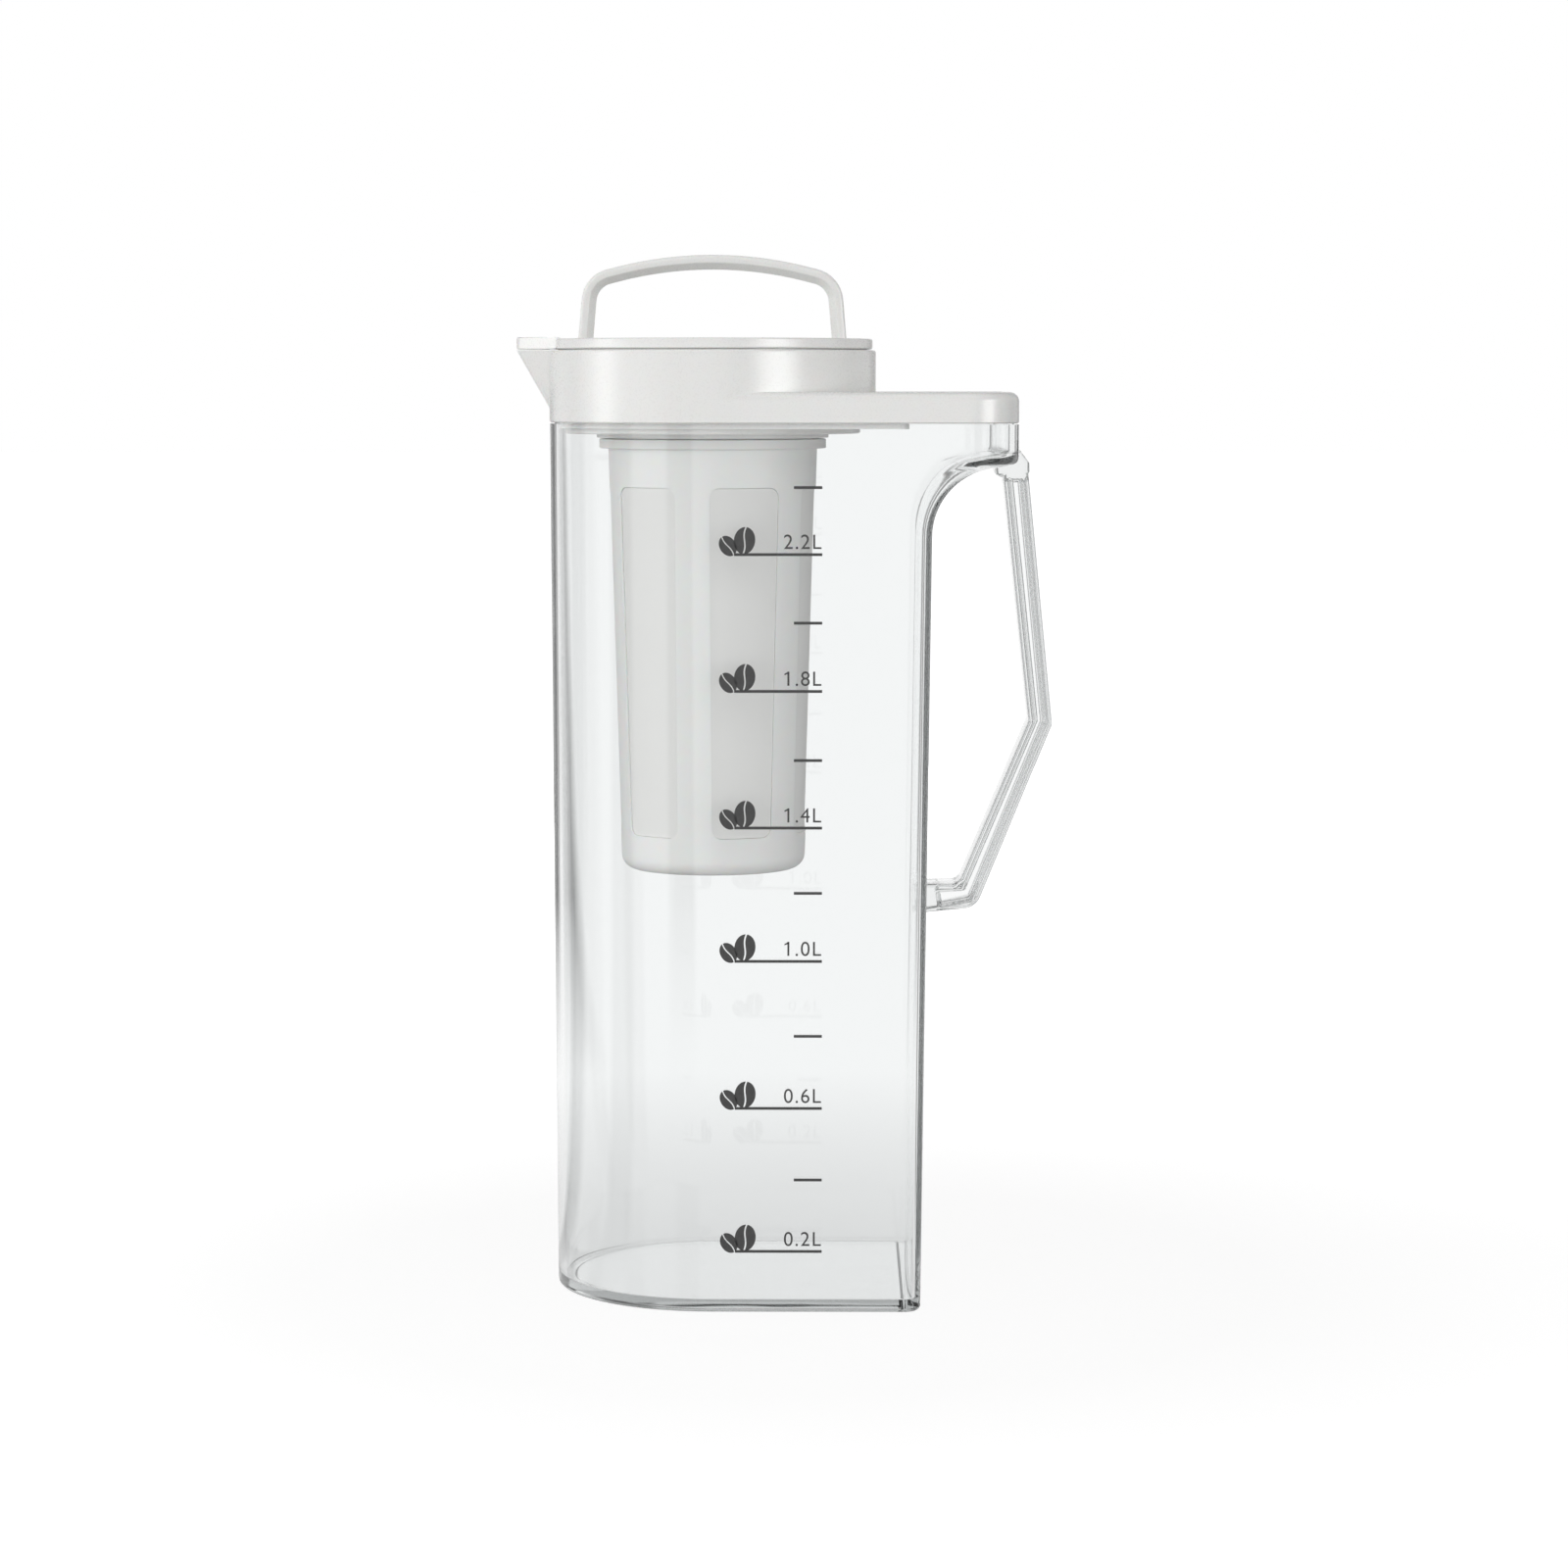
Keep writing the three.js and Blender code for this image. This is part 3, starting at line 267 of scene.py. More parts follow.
class ScaleSizes(bpy.types.PropertyGroup):
    right: length("Right end", "Lid axis to the right end of the marks", 33.3)
    long_left: length("Long left", "Lid axis to the left end of the long lines", 7.4)
    short_left: length("Short left", "Lid axis to the left end of the short lines", 24.95)
    line: length("Line", "Thickness of the lines", 0.85)
    digit: length("Digit", "Height of the numbers", 4.3)
    stretch: amount("Stretch", "Width of the numbers to their height", 0.97)
    spacing: amount("Spacing", "Pitch of the characters to the font's own", 1.12)
    inset: length("Inset", "Numbers in from the right end", 0.25)
    lift: length("Lift", "Numbers above their line", 1.6)
    film: length("Film", "Thickness of the ink", 0.03)
    bean: length("Bean", "Height of the larger bean", 8)


class Finishes(bpy.types.PropertyGroup):
    clear: tint("Clear plastic", "Tint of the clear copolyester", "FBFCFC")
    white: tint("White plastic", "Colour of the lids", "F3F3F1")
    frosted: tint("Frosted plastic", "Colour of the basket", "FAFAF8")
    screen: tint("Screen", "Colour of the woven screens", "F4F4F2")
    rubber: tint("Silicone", "Colour of the gasket and seal", "E6E7E4")
    steel: tint("Steel", "Colour of the hinge pin", "C4C6C8")
    ink: tint("Ink", "Colour of the printed scale", "343434")


class StageSettings(bpy.types.PropertyGroup):
    bounces: count("Bounces", "How often light may bend or mirror", 96)
    sky: amount("Sky", "Soft light from the sides", 0.6)
    zenith: amount("Zenith", "Soft light from straight above", 0.28)
    left_share: amount("Left share", "Soft light on the left to the middle", 1.05)
    right_share: amount("Right share", "Soft light on the right to the middle", 0.85)
    ceiling: amount("Ceiling", "Mirrored level of the dim ceiling", 0.3)
    left_flag: amount("Left flags", "Level of the flags on the left", 0.2)
    right_flag: amount("Right flags", "Level of the flags on the right", 0.38)
    side_lamp: amount("Side lamp", "Power of the left lamp in watts", 5.2)
    strip_lamp: amount("Strip lamp", "Power of the right lamp in watts", 10.0)
    fill_lamp: amount("Fill lamp", "Power of the lamp in front in watts", 6.4)
    back_lamp: amount("Back lamp", "Power of the lamp behind in watts", 9.0)
    high_lamp: amount("High lamp", "Power of the carry handle's lamp in watts", 9.0)
    low_lamp: amount("Low lamp", "Power of the low lamp in front in watts", 5.2)
    top_lamp: amount("Top lamp", "Power of the overhead lamp in watts", 1.8)
    aim_aside: length("Aim aside", "Lid axis to the point that the lamps face", 20)
    aim_height: length("Aim height", "Base to the point that the lamps face", 170)
    floor_side: length("Floor side", "Side of the paper sweep", 30000)
    floor_drop: length("Floor drop", "Gap that keeps the paper off the foot", 0.3)
    floor_glow: amount("Floor glow", "Camera's extra light on the floor", 0.64)
    # level of the painted shadow on the paper that clear plastic shows under the jug
    under: amount("Under", "Level of the shaded floor under the jug", 0.75)
    distance: length("Camera distance", "Camera in front of the lid axis", 1287.83)
    height: length("Camera height", "Camera above the floor", 276.99)
    aside: length("Camera aside", "Camera to the handle side of the lid axis", 32.35)
    pitch: slant("Pitch", "How far the camera looks down", 5.46)
    yaw: slant("Yaw", "How far the camera turns to the spout", 0.4756)
    nearest: length("Nearest", "Camera to the nearest thing it sees", 50)
    sensor: amount("Sensor", "Width of the camera's sensor in millimetres", 36.0)
    lens: amount("Lens", "Focal length in millimetres", 97.0)


class PitcherSettings(bpy.types.PropertyGroup):
    jug: PointerProperty(type=JugSizes)
    side_handle: PointerProperty(type=SideHandleSizes)
    pour_lid: PointerProperty(type=PourLidSizes)
    lid: PointerProperty(type=LidSizes)
    carry: PointerProperty(type=CarryHandleSizes)
    basket: PointerProperty(type=BasketSizes)
    scale: PointerProperty(type=ScaleSizes)
    finishes: PointerProperty(type=Finishes)
    stage: PointerProperty(type=StageSettings)


# Modelling helpers. Pieces are modelled about the lid axis and moved into the frame when they are finished.


def begin():
    """Leaves edit mode and clears the selection, so that the next operator acts on its own piece."""
    if bpy.context.mode != "OBJECT":
        bpy.ops.object.mode_set(mode="OBJECT")
    bpy.ops.object.select_all(action="DESELECT")


def pick(piece):
    begin()
    piece.select_set(True)
    bpy.context.view_layer.objects.active = piece


def settle():
    """Moves the place, turn and size of the picked piece into its mesh."""
    bpy.ops.object.transform_apply(location=True, rotation=True, scale=True)


def add(primitive, **settings):
    """Adds a primitive with its place in its mesh."""
    begin()
    primitive(**settings)
    settle()
    return bpy.context.object


def edit(piece):
    pick(piece)
    bpy.ops.object.mode_set(mode="EDIT")


def everything():
    bpy.ops.mesh.select_all(action="SELECT")


def extrude(push):
    bpy.ops.mesh.extrude_region_move(TRANSFORM_OT_translate={"value": push})


def choose(test, among=None):
    """Selects the vertices of the edited mesh whose place passes the test."""
    bpy.ops.mesh.select_all(action="DESELECT")
    mesh = bpy.context.object.data
    shape = bmesh.from_edit_mesh(mesh)
    shape.verts.ensure_lookup_table()
    for index in among if among is not None else range(len(shape.verts)):
        if test(shape.verts[index].co):
            shape.verts[index].select_set(True)
    shape.select_flush(True)
    bmesh.update_edit_mesh(mesh)


def chosen():
    """Numbers of the selected vertices of the edited mesh."""
    shape = bmesh.from_edit_mesh(bpy.context.object.data)
    shape.verts.index_update()
    return [vert.index for vert in shape.verts if vert.select]


def close_up():
    """Merges doubles, turns all faces outwards and leaves edit mode."""
    everything()
    bpy.ops.mesh.remove_doubles(threshold=JOIN)
    bpy.ops.mesh.normals_make_consistent(inside=False)
    bpy.ops.object.mode_set(mode="OBJECT")
    return bpy.context.object


def close_ends():
    """Fills the open ends of the edited mesh and closes it up."""
    everything()
    bpy.ops.mesh.fill_holes(sides=0)
    return close_up()


def mix(a, b, share):
    return a + (b - a) * share


def quarter(steps):
    """Sines and cosines over a quarter turn."""
    return [(math.sin(a), math.cos(a)) for a in (math.pi / 2 * i / steps for i in range(steps + 1))]


def rounded(corners, steps=5):
    """Closed outline with each corner (x, y, radius) turned into an arc."""
    outline = []
    for i, (x, y, radius) in enumerate(corners):
        here = Vector((x, y))
        back = (Vector(corners[i - 1][:2]) - here).normalized()
        ahead = (Vector(corners[(i + 1) % len(corners)][:2]) - here).normalized()
        half = back.angle(ahead, 0) / 2
        if radius <= 0 or half < JOIN or half > math.pi / 2 - NEARLY:
            outline.append((x, y))
            continue
        reach = radius / math.tan(half)
        middle = here + (back + ahead).normalized() * (radius / math.sin(half))
        start = here + back * reach - middle
        sweep = math.pi - 2 * half
        if back.cross(ahead) > 0:
            sweep = -sweep
        for k in range(steps + 1):
            a = sweep * k / steps
            turned = (
                start.x * math.cos(a) - start.y * math.sin(a),
                start.x * math.sin(a) + start.y * math.cos(a),
            )
            outline.append((middle.x + turned[0], middle.y + turned[1]))
    return outline


def draw(points):
    """Draws a line by extruding one vertex from point to point, and stays in edit mode."""
    points = [Vector(p) for p in points]
    add(bpy.ops.mesh.primitive_plane_add, size=MM, location=points[0])
    bpy.ops.object.mode_set(mode="EDIT")
    everything()
    bpy.ops.mesh.merge(type="CENTER")
    for before, after in zip(points, points[1:]):
        bpy.ops.mesh.extrude_vertices_move(TRANSFORM_OT_translate={"value": after - before})


def lathe(profile):
    """Turns a drawn profile of (radius, height) about the lid axis."""
    draw([(r, 0, z) for r, z in profile + profile[:1]])
    everything()
    bpy.ops.mesh.spin(steps=2 * ROUND_STEPS, angle=TURN, center=(0, 0, 0), axis=(0, 0, 1))
    return close_up()


def slab(outline, push):
    """Fills a drawn outline of 3-D points and extrudes it by a vector."""
    draw(outline)
    everything()
    bpy.ops.mesh.edge_face_add()
    extrude(push)
    return close_ends()


def skin(loops):
    """Closed skin through closed loops of 3-D points, each with as many points."""
    drawn = []
    for loop in loops:
        draw(loop + loop[:1])
        drawn.append(close_up())
    edit(join(drawn))
    everything()
    bpy.ops.mesh.bridge_edge_loops()
    return close_ends()


def block(x0, x1, y0, y1, z0, z1):
    middle = ((x0 + x1) / 2, (y0 + y1) / 2, (z0 + z1) / 2)
    size = (abs(x1 - x0), abs(y1 - y0), abs(z1 - z0))
    return add(bpy.ops.mesh.primitive_cube_add, size=1, location=middle, scale=size)


def rod(radius, start, end, steps=32):
    """Round bar between two points that differ along X or Y."""
    start, end = Vector(start), Vector(end)
    along = end - start
    return add(
        bpy.ops.mesh.primitive_cylinder_add,
        vertices=steps,
        radius=radius,
        depth=along.length,
        location=(start + end) / 2,
        rotation=along.to_track_quat("Z", "Y").to_euler(),
    )


def modify(piece, kind, **settings):
    """Adds a modifier with its settings and applies it."""
    pick(piece)
    bpy.ops.object.modifier_add(type=kind)
    change = piece.modifiers[-1]
    for key, value in settings.items():
        setattr(change, key, value)
    bpy.ops.object.modifier_apply(modifier=change.name)
    return piece


def combine(piece, tool, operation):
    """Joins a tool to a piece, cuts it away or keeps what they share, and removes the tool."""
    modify(piece, "BOOLEAN", operation=operation, solver="EXACT", object=tool)
    bpy.data.objects.remove(tool)
    return piece


def fuse(piece, tool):
    return combine(piece, tool, "UNION")


def cut(piece, tool):
    return combine(piece, tool, "DIFFERENCE")


def soften(piece, width, segments, crease=35, clamp=True):
    """Bevels the edges that are sharper than the crease."""
    settings = {"limit_method": "ANGLE", "angle_limit": math.radians(crease), "use_clamp_overlap": clamp}
    return modify(piece, "BEVEL", width=width, segments=segments, **settings)


def copy_turned(piece, angle):
    """Copy with its own mesh, turned about the lid axis."""
    pick(piece)
    bpy.ops.object.duplicate(linked=False)
    twin = bpy.context.object
    twin.rotation_euler.z = angle
    bpy.ops.object.transform_apply(location=False, rotation=True, scale=False)
    return twin


def join(pieces):
    begin()
    for piece in pieces:
        piece.select_set(True)
    bpy.context.view_layer.objects.active = pieces[0]
    bpy.ops.object.join()
    return bpy.context.object


def turned_copies(piece, angles):
    """Replaces a piece by turned copies of it, joined to one."""
    copies = [copy_turned(piece, angle) for angle in angles]
    bpy.data.objects.remove(piece)
    return join(copies)


def plan(radius, end, corner, z):
    """Draws the jug's plan as an open loop of edges: half a circle, two flanks and a flat end."""
    add(bpy.ops.mesh.primitive_circle_add, vertices=2 * ROUND_STEPS, radius=radius, location=(0, 0, z))
    bpy.ops.object.mode_set(mode="EDIT")
    choose(lambda co: co.x > JOIN)
    bpy.ops.mesh.delete(type="VERT")
    for side in (-1, 1):
        choose(lambda co: abs(co.x) < JOIN and co.y * side > 0)
        bpy.ops.mesh.extrude_vertices_move(TRANSFORM_OT_translate={"value": (end, 0, 0)})
    everything()
    bpy.ops.mesh.edge_face_add()
    choose(lambda co: co.x > end - JOIN)
    bpy.ops.mesh.bevel(offset=corner, offset_type="OFFSET", segments=CORNER_STEPS, affect="VERTICES")
    everything()
    bpy.ops.mesh.delete(type="ONLY_FACE")
    everything()


def next_ring(old, new):
    """Extrudes the selected plan and reshapes it; each ring is (radius, end, corner, height)."""
    extrude((0, 0, new[3] - old[3]))
    ring = chosen()
    grow = new[0] / old[0]
    bpy.ops.transform.resize(value=(grow, grow, 1), center_override=(0, 0, new[3]))
    share = new[2] / (old[2] * grow)
    for side in (-1, 1):
        choose(lambda co: co.x > JOIN and co.y * side > 0, ring)
        bpy.ops.transform.translate(value=(new[1] - old[1] * grow, 0, 0))
        corner = (new[1], side * new[0], new[3])
        bpy.ops.transform.resize(value=(share, share, 1), center_override=corner)
    choose(lambda co: True, ring)


def loft(rings):
    """Closed skin through plans of the jug's kind."""
    plan(*rings[0])
    for old, new in zip(rings, rings[1:]):
        next_ring(old, new)
    return close_ends()


def finish(piece, name, body, slot, nodes=(), crease=30):
    """Moves a piece into the frame, smooths it, gives it its finish and ties it to its body."""
    pick(piece)
    piece.name = name
    piece.data.name = name
    piece.location.x = AXIS_X
    settle()
    bpy.ops.object.shade_smooth_by_angle(angle=math.radians(crease))
    modify(piece, "WEIGHTED_NORMAL", keep_sharp=True)
    piece.data.materials.clear()
    piece.data.materials.append(material_of(slot))
    # clear plastic lets the light through to what it holds
    opaque = slot != "clear_plastic"
    piece.visible_shadow = opaque
    piece.visible_diffuse = opaque
    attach(piece, body)
    if nodes:
        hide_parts(*nodes)


# Materials


def add_node(tree, kind, inputs=None, **settings):
    """Adds a node with its settings; an input is a value, an output, or a node for its first output."""
    made = tree.nodes.new(kind)
    for key, value in settings.items():
        setattr(made, key, value)
    for key, value in (inputs or {}).items():
        if isinstance(value, bpy.types.Node):
            value = value.outputs[0]
        if isinstance(value, bpy.types.NodeSocket):
            tree.links.new(value, made.inputs[key])
        else:
            made.inputs[key].default_value = value
    return made


def clear_copolyester(tree, finishes):
    """Injection-moulded clear copolyester: sharp see-through, faint flow waves, grey only in its depth."""
    place = add_node(tree, "ShaderNodeTexCoord").outputs["Object"]
    # flow waves are about 30 mm long
    waves = add_node(tree, "ShaderNodeTexNoise", {"Vector": place, "Scale": 1 / (30 * MM), "Detail": 1.0})
    # handling haze, in patches of about 12 mm
    haze = add_node(tree, "ShaderNodeTexNoise", {"Vector": place, "Scale": 1 / (12 * MM), "Detail": 3.0})
    inputs = {
        "Base Color": finishes.clear,
        "Roughness": add_node(tree, "ShaderNodeMapRange", {"Value": haze, "To Min": 0.0, "To Max": 0.03}),
        "IOR": 1.5,
        "Transmission Weight": 1.0,
        "Normal": add_node(tree, "ShaderNodeBump", {"Height": waves, "Strength": 0.05, "Distance": 1 * MM}),
    }
    surface = add_node(tree, "ShaderNodeBsdfPrincipled", inputs)
    depth = add_node(tree, "ShaderNodeVolumeAbsorption", {"Color": linear("D8DADA"), "Density": 22.0})
    return {"Surface": surface, "Volume": depth}


def white_polypropylene(tree, finishes):
    """Moulded white polypropylene: satin, with a spark-eroded grain and a little light let in."""
    place = add_node(tree, "ShaderNodeTexCoord").outputs["Object"]
    # the eroded grain is 0.1 mm on the tool; drawn at 0.5 mm so that it shows
    grain = add_node(tree, "ShaderNodeTexNoise", {"Vector": place, "Scale": 1 / (0.5 * MM), "Detail": 2.0})
    # colour drifts by a shade over about 40 mm
    drift = add_node(tree, "ShaderNodeTexNoise", {"Vector": place, "Scale": 1 / (40 * MM), "Detail": 1.0})
    shades = {"Factor": drift, 6: finishes.white, 7: linear("EEEEEC")}
    inputs = {
        "Base Color": add_node(tree, "ShaderNodeMix", shades, data_type="RGBA").outputs[2],
        "Roughness": add_node(tree, "ShaderNodeMapRange", {"Value": grain, "To Min": 0.24, "To Max": 0.32}),
        "IOR": 1.49,
        "Subsurface Weight": 0.08,
        "Subsurface Scale": 1 * MM,
        "Normal": add_node(tree, "ShaderNodeBump", {"Height": grain, "Strength": 0.06, "Distance": 0.1 * MM}),
    }
    return {"Surface": add_node(tree, "ShaderNodeBsdfPrincipled", inputs)}


def frosted_polypropylene(tree, finishes):
    """Moulded natural polypropylene with a fine matt grain: milky, light glows through it."""
    place = add_node(tree, "ShaderNodeTexCoord").outputs["Object"]
    # matt grain of 0.15 mm, drawn at 0.6 mm so that it shows
    grain = add_node(tree, "ShaderNodeTexNoise", {"Vector": place, "Scale": 1 / (0.6 * MM), "Detail": 2.0})
    inputs = {
        "Base Color": finishes.frosted,
        "Roughness": add_node(tree, "ShaderNodeMapRange", {"Value": grain, "To Min": 0.48, "To Max": 0.6}),
        "IOR": 1.49,
        "Transmission Weight": 0.03,
        "Subsurface Weight": 0.2,
        "Subsurface Scale": 2 * MM,
        "Normal": add_node(tree, "ShaderNodeBump", {"Height": grain, "Strength": 0.08, "Distance": 0.1 * MM}),
    }
    return {"Surface": add_node(tree, "ShaderNodeBsdfPrincipled", inputs)}


def woven_nylon(tree, finishes):
    """Fine woven nylon screen: even grey-white cloth, threads crossing over and under."""
    cloth = add_node(tree, "ShaderNodeTexCoord").outputs["UV"]
    axes = add_node(tree, "ShaderNodeSeparateXYZ", {"Vector": cloth}).outputs
    # threads are 0.15 mm apart; drawn 0.6 mm apart so that they show
    pitch = 0.6 * MM
    threads = {}
    for i, axis in enumerate(("X", "Y")):
        turns = add_node(tree, "ShaderNodeMath", {0: axes[axis], 1: TURN / pitch}, operation="MULTIPLY")
        threads[i] = add_node(tree, "ShaderNodeMath", {0: turns}, operation="SINE")
    crossing = add_node(tree, "ShaderNodeMath", threads, operation="MULTIPLY")
    weave = add_node(tree, "ShaderNodeMapRange", {"Value": crossing, "From Min": -1.0, "From Max": 1.0})
    shades = {"Factor": weave, 6: linear("E9E9E7"), 7: finishes.screen}
    inputs = {
        "Base Color": add_node(tree, "ShaderNodeMix", shades, data_type="RGBA").outputs[2],
        "Roughness": 0.7,
        "IOR": 1.53,
        "Normal": add_node(tree, "ShaderNodeBump", {"Height": weave, "Strength": 0.35, "Distance": 0.2 * MM}),
    }
    return {"Surface": add_node(tree, "ShaderNodeBsdfPrincipled", inputs)}


def cast_silicone(tree, finishes):
    """Compression-moulded silicone: soft, matt, milky at its edges."""
    place = add_node(tree, "ShaderNodeTexCoord").outputs["Object"]
    # dusty bloom in patches of about 5 mm
    bloom = add_node(tree, "ShaderNodeTexNoise", {"Vector": place, "Scale": 1 / (5 * MM), "Detail": 3.0})
    shades = {"Factor": bloom, 6: finishes.rubber, 7: linear("D9DAD7")}
    inputs = {
        "Base Color": add_node(tree, "ShaderNodeMix", shades, data_type="RGBA").outputs[2],
        "Roughness": add_node(tree, "ShaderNodeMapRange", {"Value": bloom, "To Min": 0.5, "To Max": 0.7}),
        "IOR": 1.41,
        "Subsurface Weight": 0.3,
        "Subsurface Scale": 1.5 * MM,
    }
    return {"Surface": add_node(tree, "ShaderNodeBsdfPrincipled", inputs)}


def drawn_steel(tree, finishes):
    """Drawn stainless wire: bright, with fine scratches along its length."""
    place = add_node(tree, "ShaderNodeTexCoord").outputs["Object"]
    # scratches are 0.1 mm wide and run along Y
    along = add_node(tree, "ShaderNodeMapping", {"Vector": place, "Scale": (1, 0.02, 1)})
    lines = add_node(tree, "ShaderNodeTexNoise", {"Vector": along, "Scale": 1 / (0.1 * MM)})
    inputs = {
        "Base Color": finishes.steel,
        "Metallic": 1.0,
        "Roughness": add_node(tree, "ShaderNodeMapRange", {"Value": lines, "To Min": 0.2, "To Max": 0.4}),
    }
    return {"Surface": add_node(tree, "ShaderNodeBsdfPrincipled", inputs)}


def screen_print_ink(tree, finishes):
    """Screen-printed ink: dense dark grey with a slightly uneven film."""
    place = add_node(tree, "ShaderNodeTexCoord").outputs["Object"]
    # the film changes over about 1 mm
    film = add_node(tree, "ShaderNodeTexNoise", {"Vector": place, "Scale": 1 / (1 * MM), "Detail": 2.0})
    shades = {"Factor": film, 6: finishes.ink, 7: linear("454545")}
    inputs = {
        "Base Color": add_node(tree, "ShaderNodeMix", shades, data_type="RGBA").outputs[2],
        "Roughness": add_node(tree, "ShaderNodeMapRange", {"Value": film, "To Min": 0.4, "To Max": 0.55}),
    }
    return {"Surface": add_node(tree, "ShaderNodeBsdfPrincipled", inputs)}


# material of each slot; print has no slot
MATERIALS = {
    "clear_plastic": ("clear_copolyester_moulded", clear_copolyester),
    "white_plastic": ("white_polypropylene_satin", white_polypropylene),
    "frosted_plastic": ("frosted_polypropylene_matt", frosted_polypropylene),
    "nylon_mesh": ("woven_nylon_screen", woven_nylon),
    "silicone": ("silicone_moulded", cast_silicone),
    "steel": ("stainless_wire_drawn", drawn_steel),
    None: ("screen_print_ink", screen_print_ink),
}


def new_material(name):
    """Material with an empty node tree."""
    material = bpy.data.materials.new(name)
    material.use_nodes = True
    material.node_tree.nodes.clear()
    return material


def material_of(slot):
    """Material of a slot, made at its first use."""
    name, build = MATERIALS[slot]
    known = bpy.data.materials.get(name)
    if known:
        return known
    material = new_material(name)
    tree = material.node_tree
    add_node(tree, "ShaderNodeOutputMaterial", build(tree, bpy.context.scene.pitcher.finishes))
    return material


# Jug


def wall_rings(jug, inset, low, high):
    """Rings of the jug wall from a low level to a high one, moved inwards by an inset."""
    rings = []

    def ring(end, z):
        radius = mix(jug.base_round, jug.top_round, min(z / jug.shoulder, 1)) - inset
        grown = (end + inset - jug.top_flat) / (jug.shelf_end - jug.top_flat)
        corner = mix(jug.flat_corner, jug.shelf_corner, min(max(grown, 0), 1)) - inset
        rings.append((radius, end, max(corner, LEAST_CORNER), z))

    # rings close together at both ends keep the shading of the bends off the wall
    for share in (0, 0.01, 0.1, 0.5, 0.9, 0.985):
        z = mix(low, jug.flare_start, share)
        ring(mix(jug.base_flat, jug.top_flat, z / jug.flare_start) - inset, z)
    turn = math.pi / 2 - jug.flare_slope
    sweep = jug.flare_radius + inset
    middle = jug.top_flat + jug.flare_radius
    for i in range(FLARE_STEPS + 1):
        a = turn * i / FLARE_STEPS
        ring(middle - sweep * math.cos(a), jug.flare_start + sweep * math.sin(a))
    slope = math.tan(jug.flare_slope)
    end = jug.shelf_end - inset
    start = middle - sweep * math.cos(turn)
    edge = jug.flare_start + sweep * math.sin(turn) + (end - start) * slope
    for i in range(EDGE_STEPS + 1):
        t = i / EDGE_STEPS
        ring(end - jug.shelf_edge * (1 - t) ** 2, edge + jug.shelf_edge * (t**2 - slope * (1 - t) ** 2))
    ring(end, mix(edge + jug.shelf_edge, high, 0.2))
    ring(end, high)
    return rings


def base_ring(jug, inset, z):
    corner = max(jug.flat_corner - inset, LEAST_CORNER)
    return (jug.base_round - inset, jug.base_flat - inset, corner, z)


def bend_rings(jug, radius, inset, level, steps=5):
    """Rings round the bend from a level to the wall, starting on the level."""
    turns = quarter(steps)[:-1]
    return [base_ring(jug, inset + radius * (1 - s), level + radius * (1 - c)) for s, c in turns]


class PITCHER_OT_jug(bpy.types.Operator):
    """Models the clear jug as one skin from the foot over the rim to the floor"""

    bl_idname = "pitcher.jug"
    bl_label = "Jug"

    def execute(self, context):
        jug = context.scene.pitcher.jug
        outside = bend_rings(jug, jug.foot_edge, 0, 0) + wall_rings(jug, 0, jug.foot_edge, jug.shoulder)
        inside = bend_rings(jug, jug.floor_fillet, jug.wall, jug.floor)
        inside += wall_rings(jug, jug.wall, jug.floor + jug.floor_fillet, jug.rim_top)
        rim = (jug.top_round - jug.rim_step, jug.shelf_end - jug.rim_step, jug.shelf_corner - jug.rim_step)
        foot = [
            base_ring(jug, jug.foot_rim + jug.foot_recess, jug.foot_recess),
            base_ring(jug, jug.foot_rim, 0),
        ]
        rings = foot + outside + [(*rim, jug.shoulder), (*rim, jug.rim_top)] + inside[::-1]
        finish(loft(rings), "clear_jug", "jug", "clear_plastic", ["jug_body"])
        return {"FINISHED"}


# Side handle


def ribbon(path, narrow=0):
    """Offsets a path of (x, z, half thickness, round) to both sides with mitred corners."""
    inner, outer = [], []
    for i, (x, z, half, bend) in enumerate(path):
        here = Vector((x, z))
        sides = []
        for j in (i - 1, i):
            if 0 <= j and j + 1 < len(path):
                step = Vector(path[j + 1][:2]) - Vector(path[j][:2])
                sides.append(Vector((-step.y, step.x)).normalized())
        mitre = sum(sides, Vector((0, 0))).normalized()
        reach = (half - narrow) / mitre.dot(sides[-1])
        inner.append((*(here + mitre * reach), bend / 2))
        outer.insert(0, (*(here - mitre * reach), bend))
    return inner + outer


def upright(outline, y):
    return [(x, y, z) for x, z in outline]


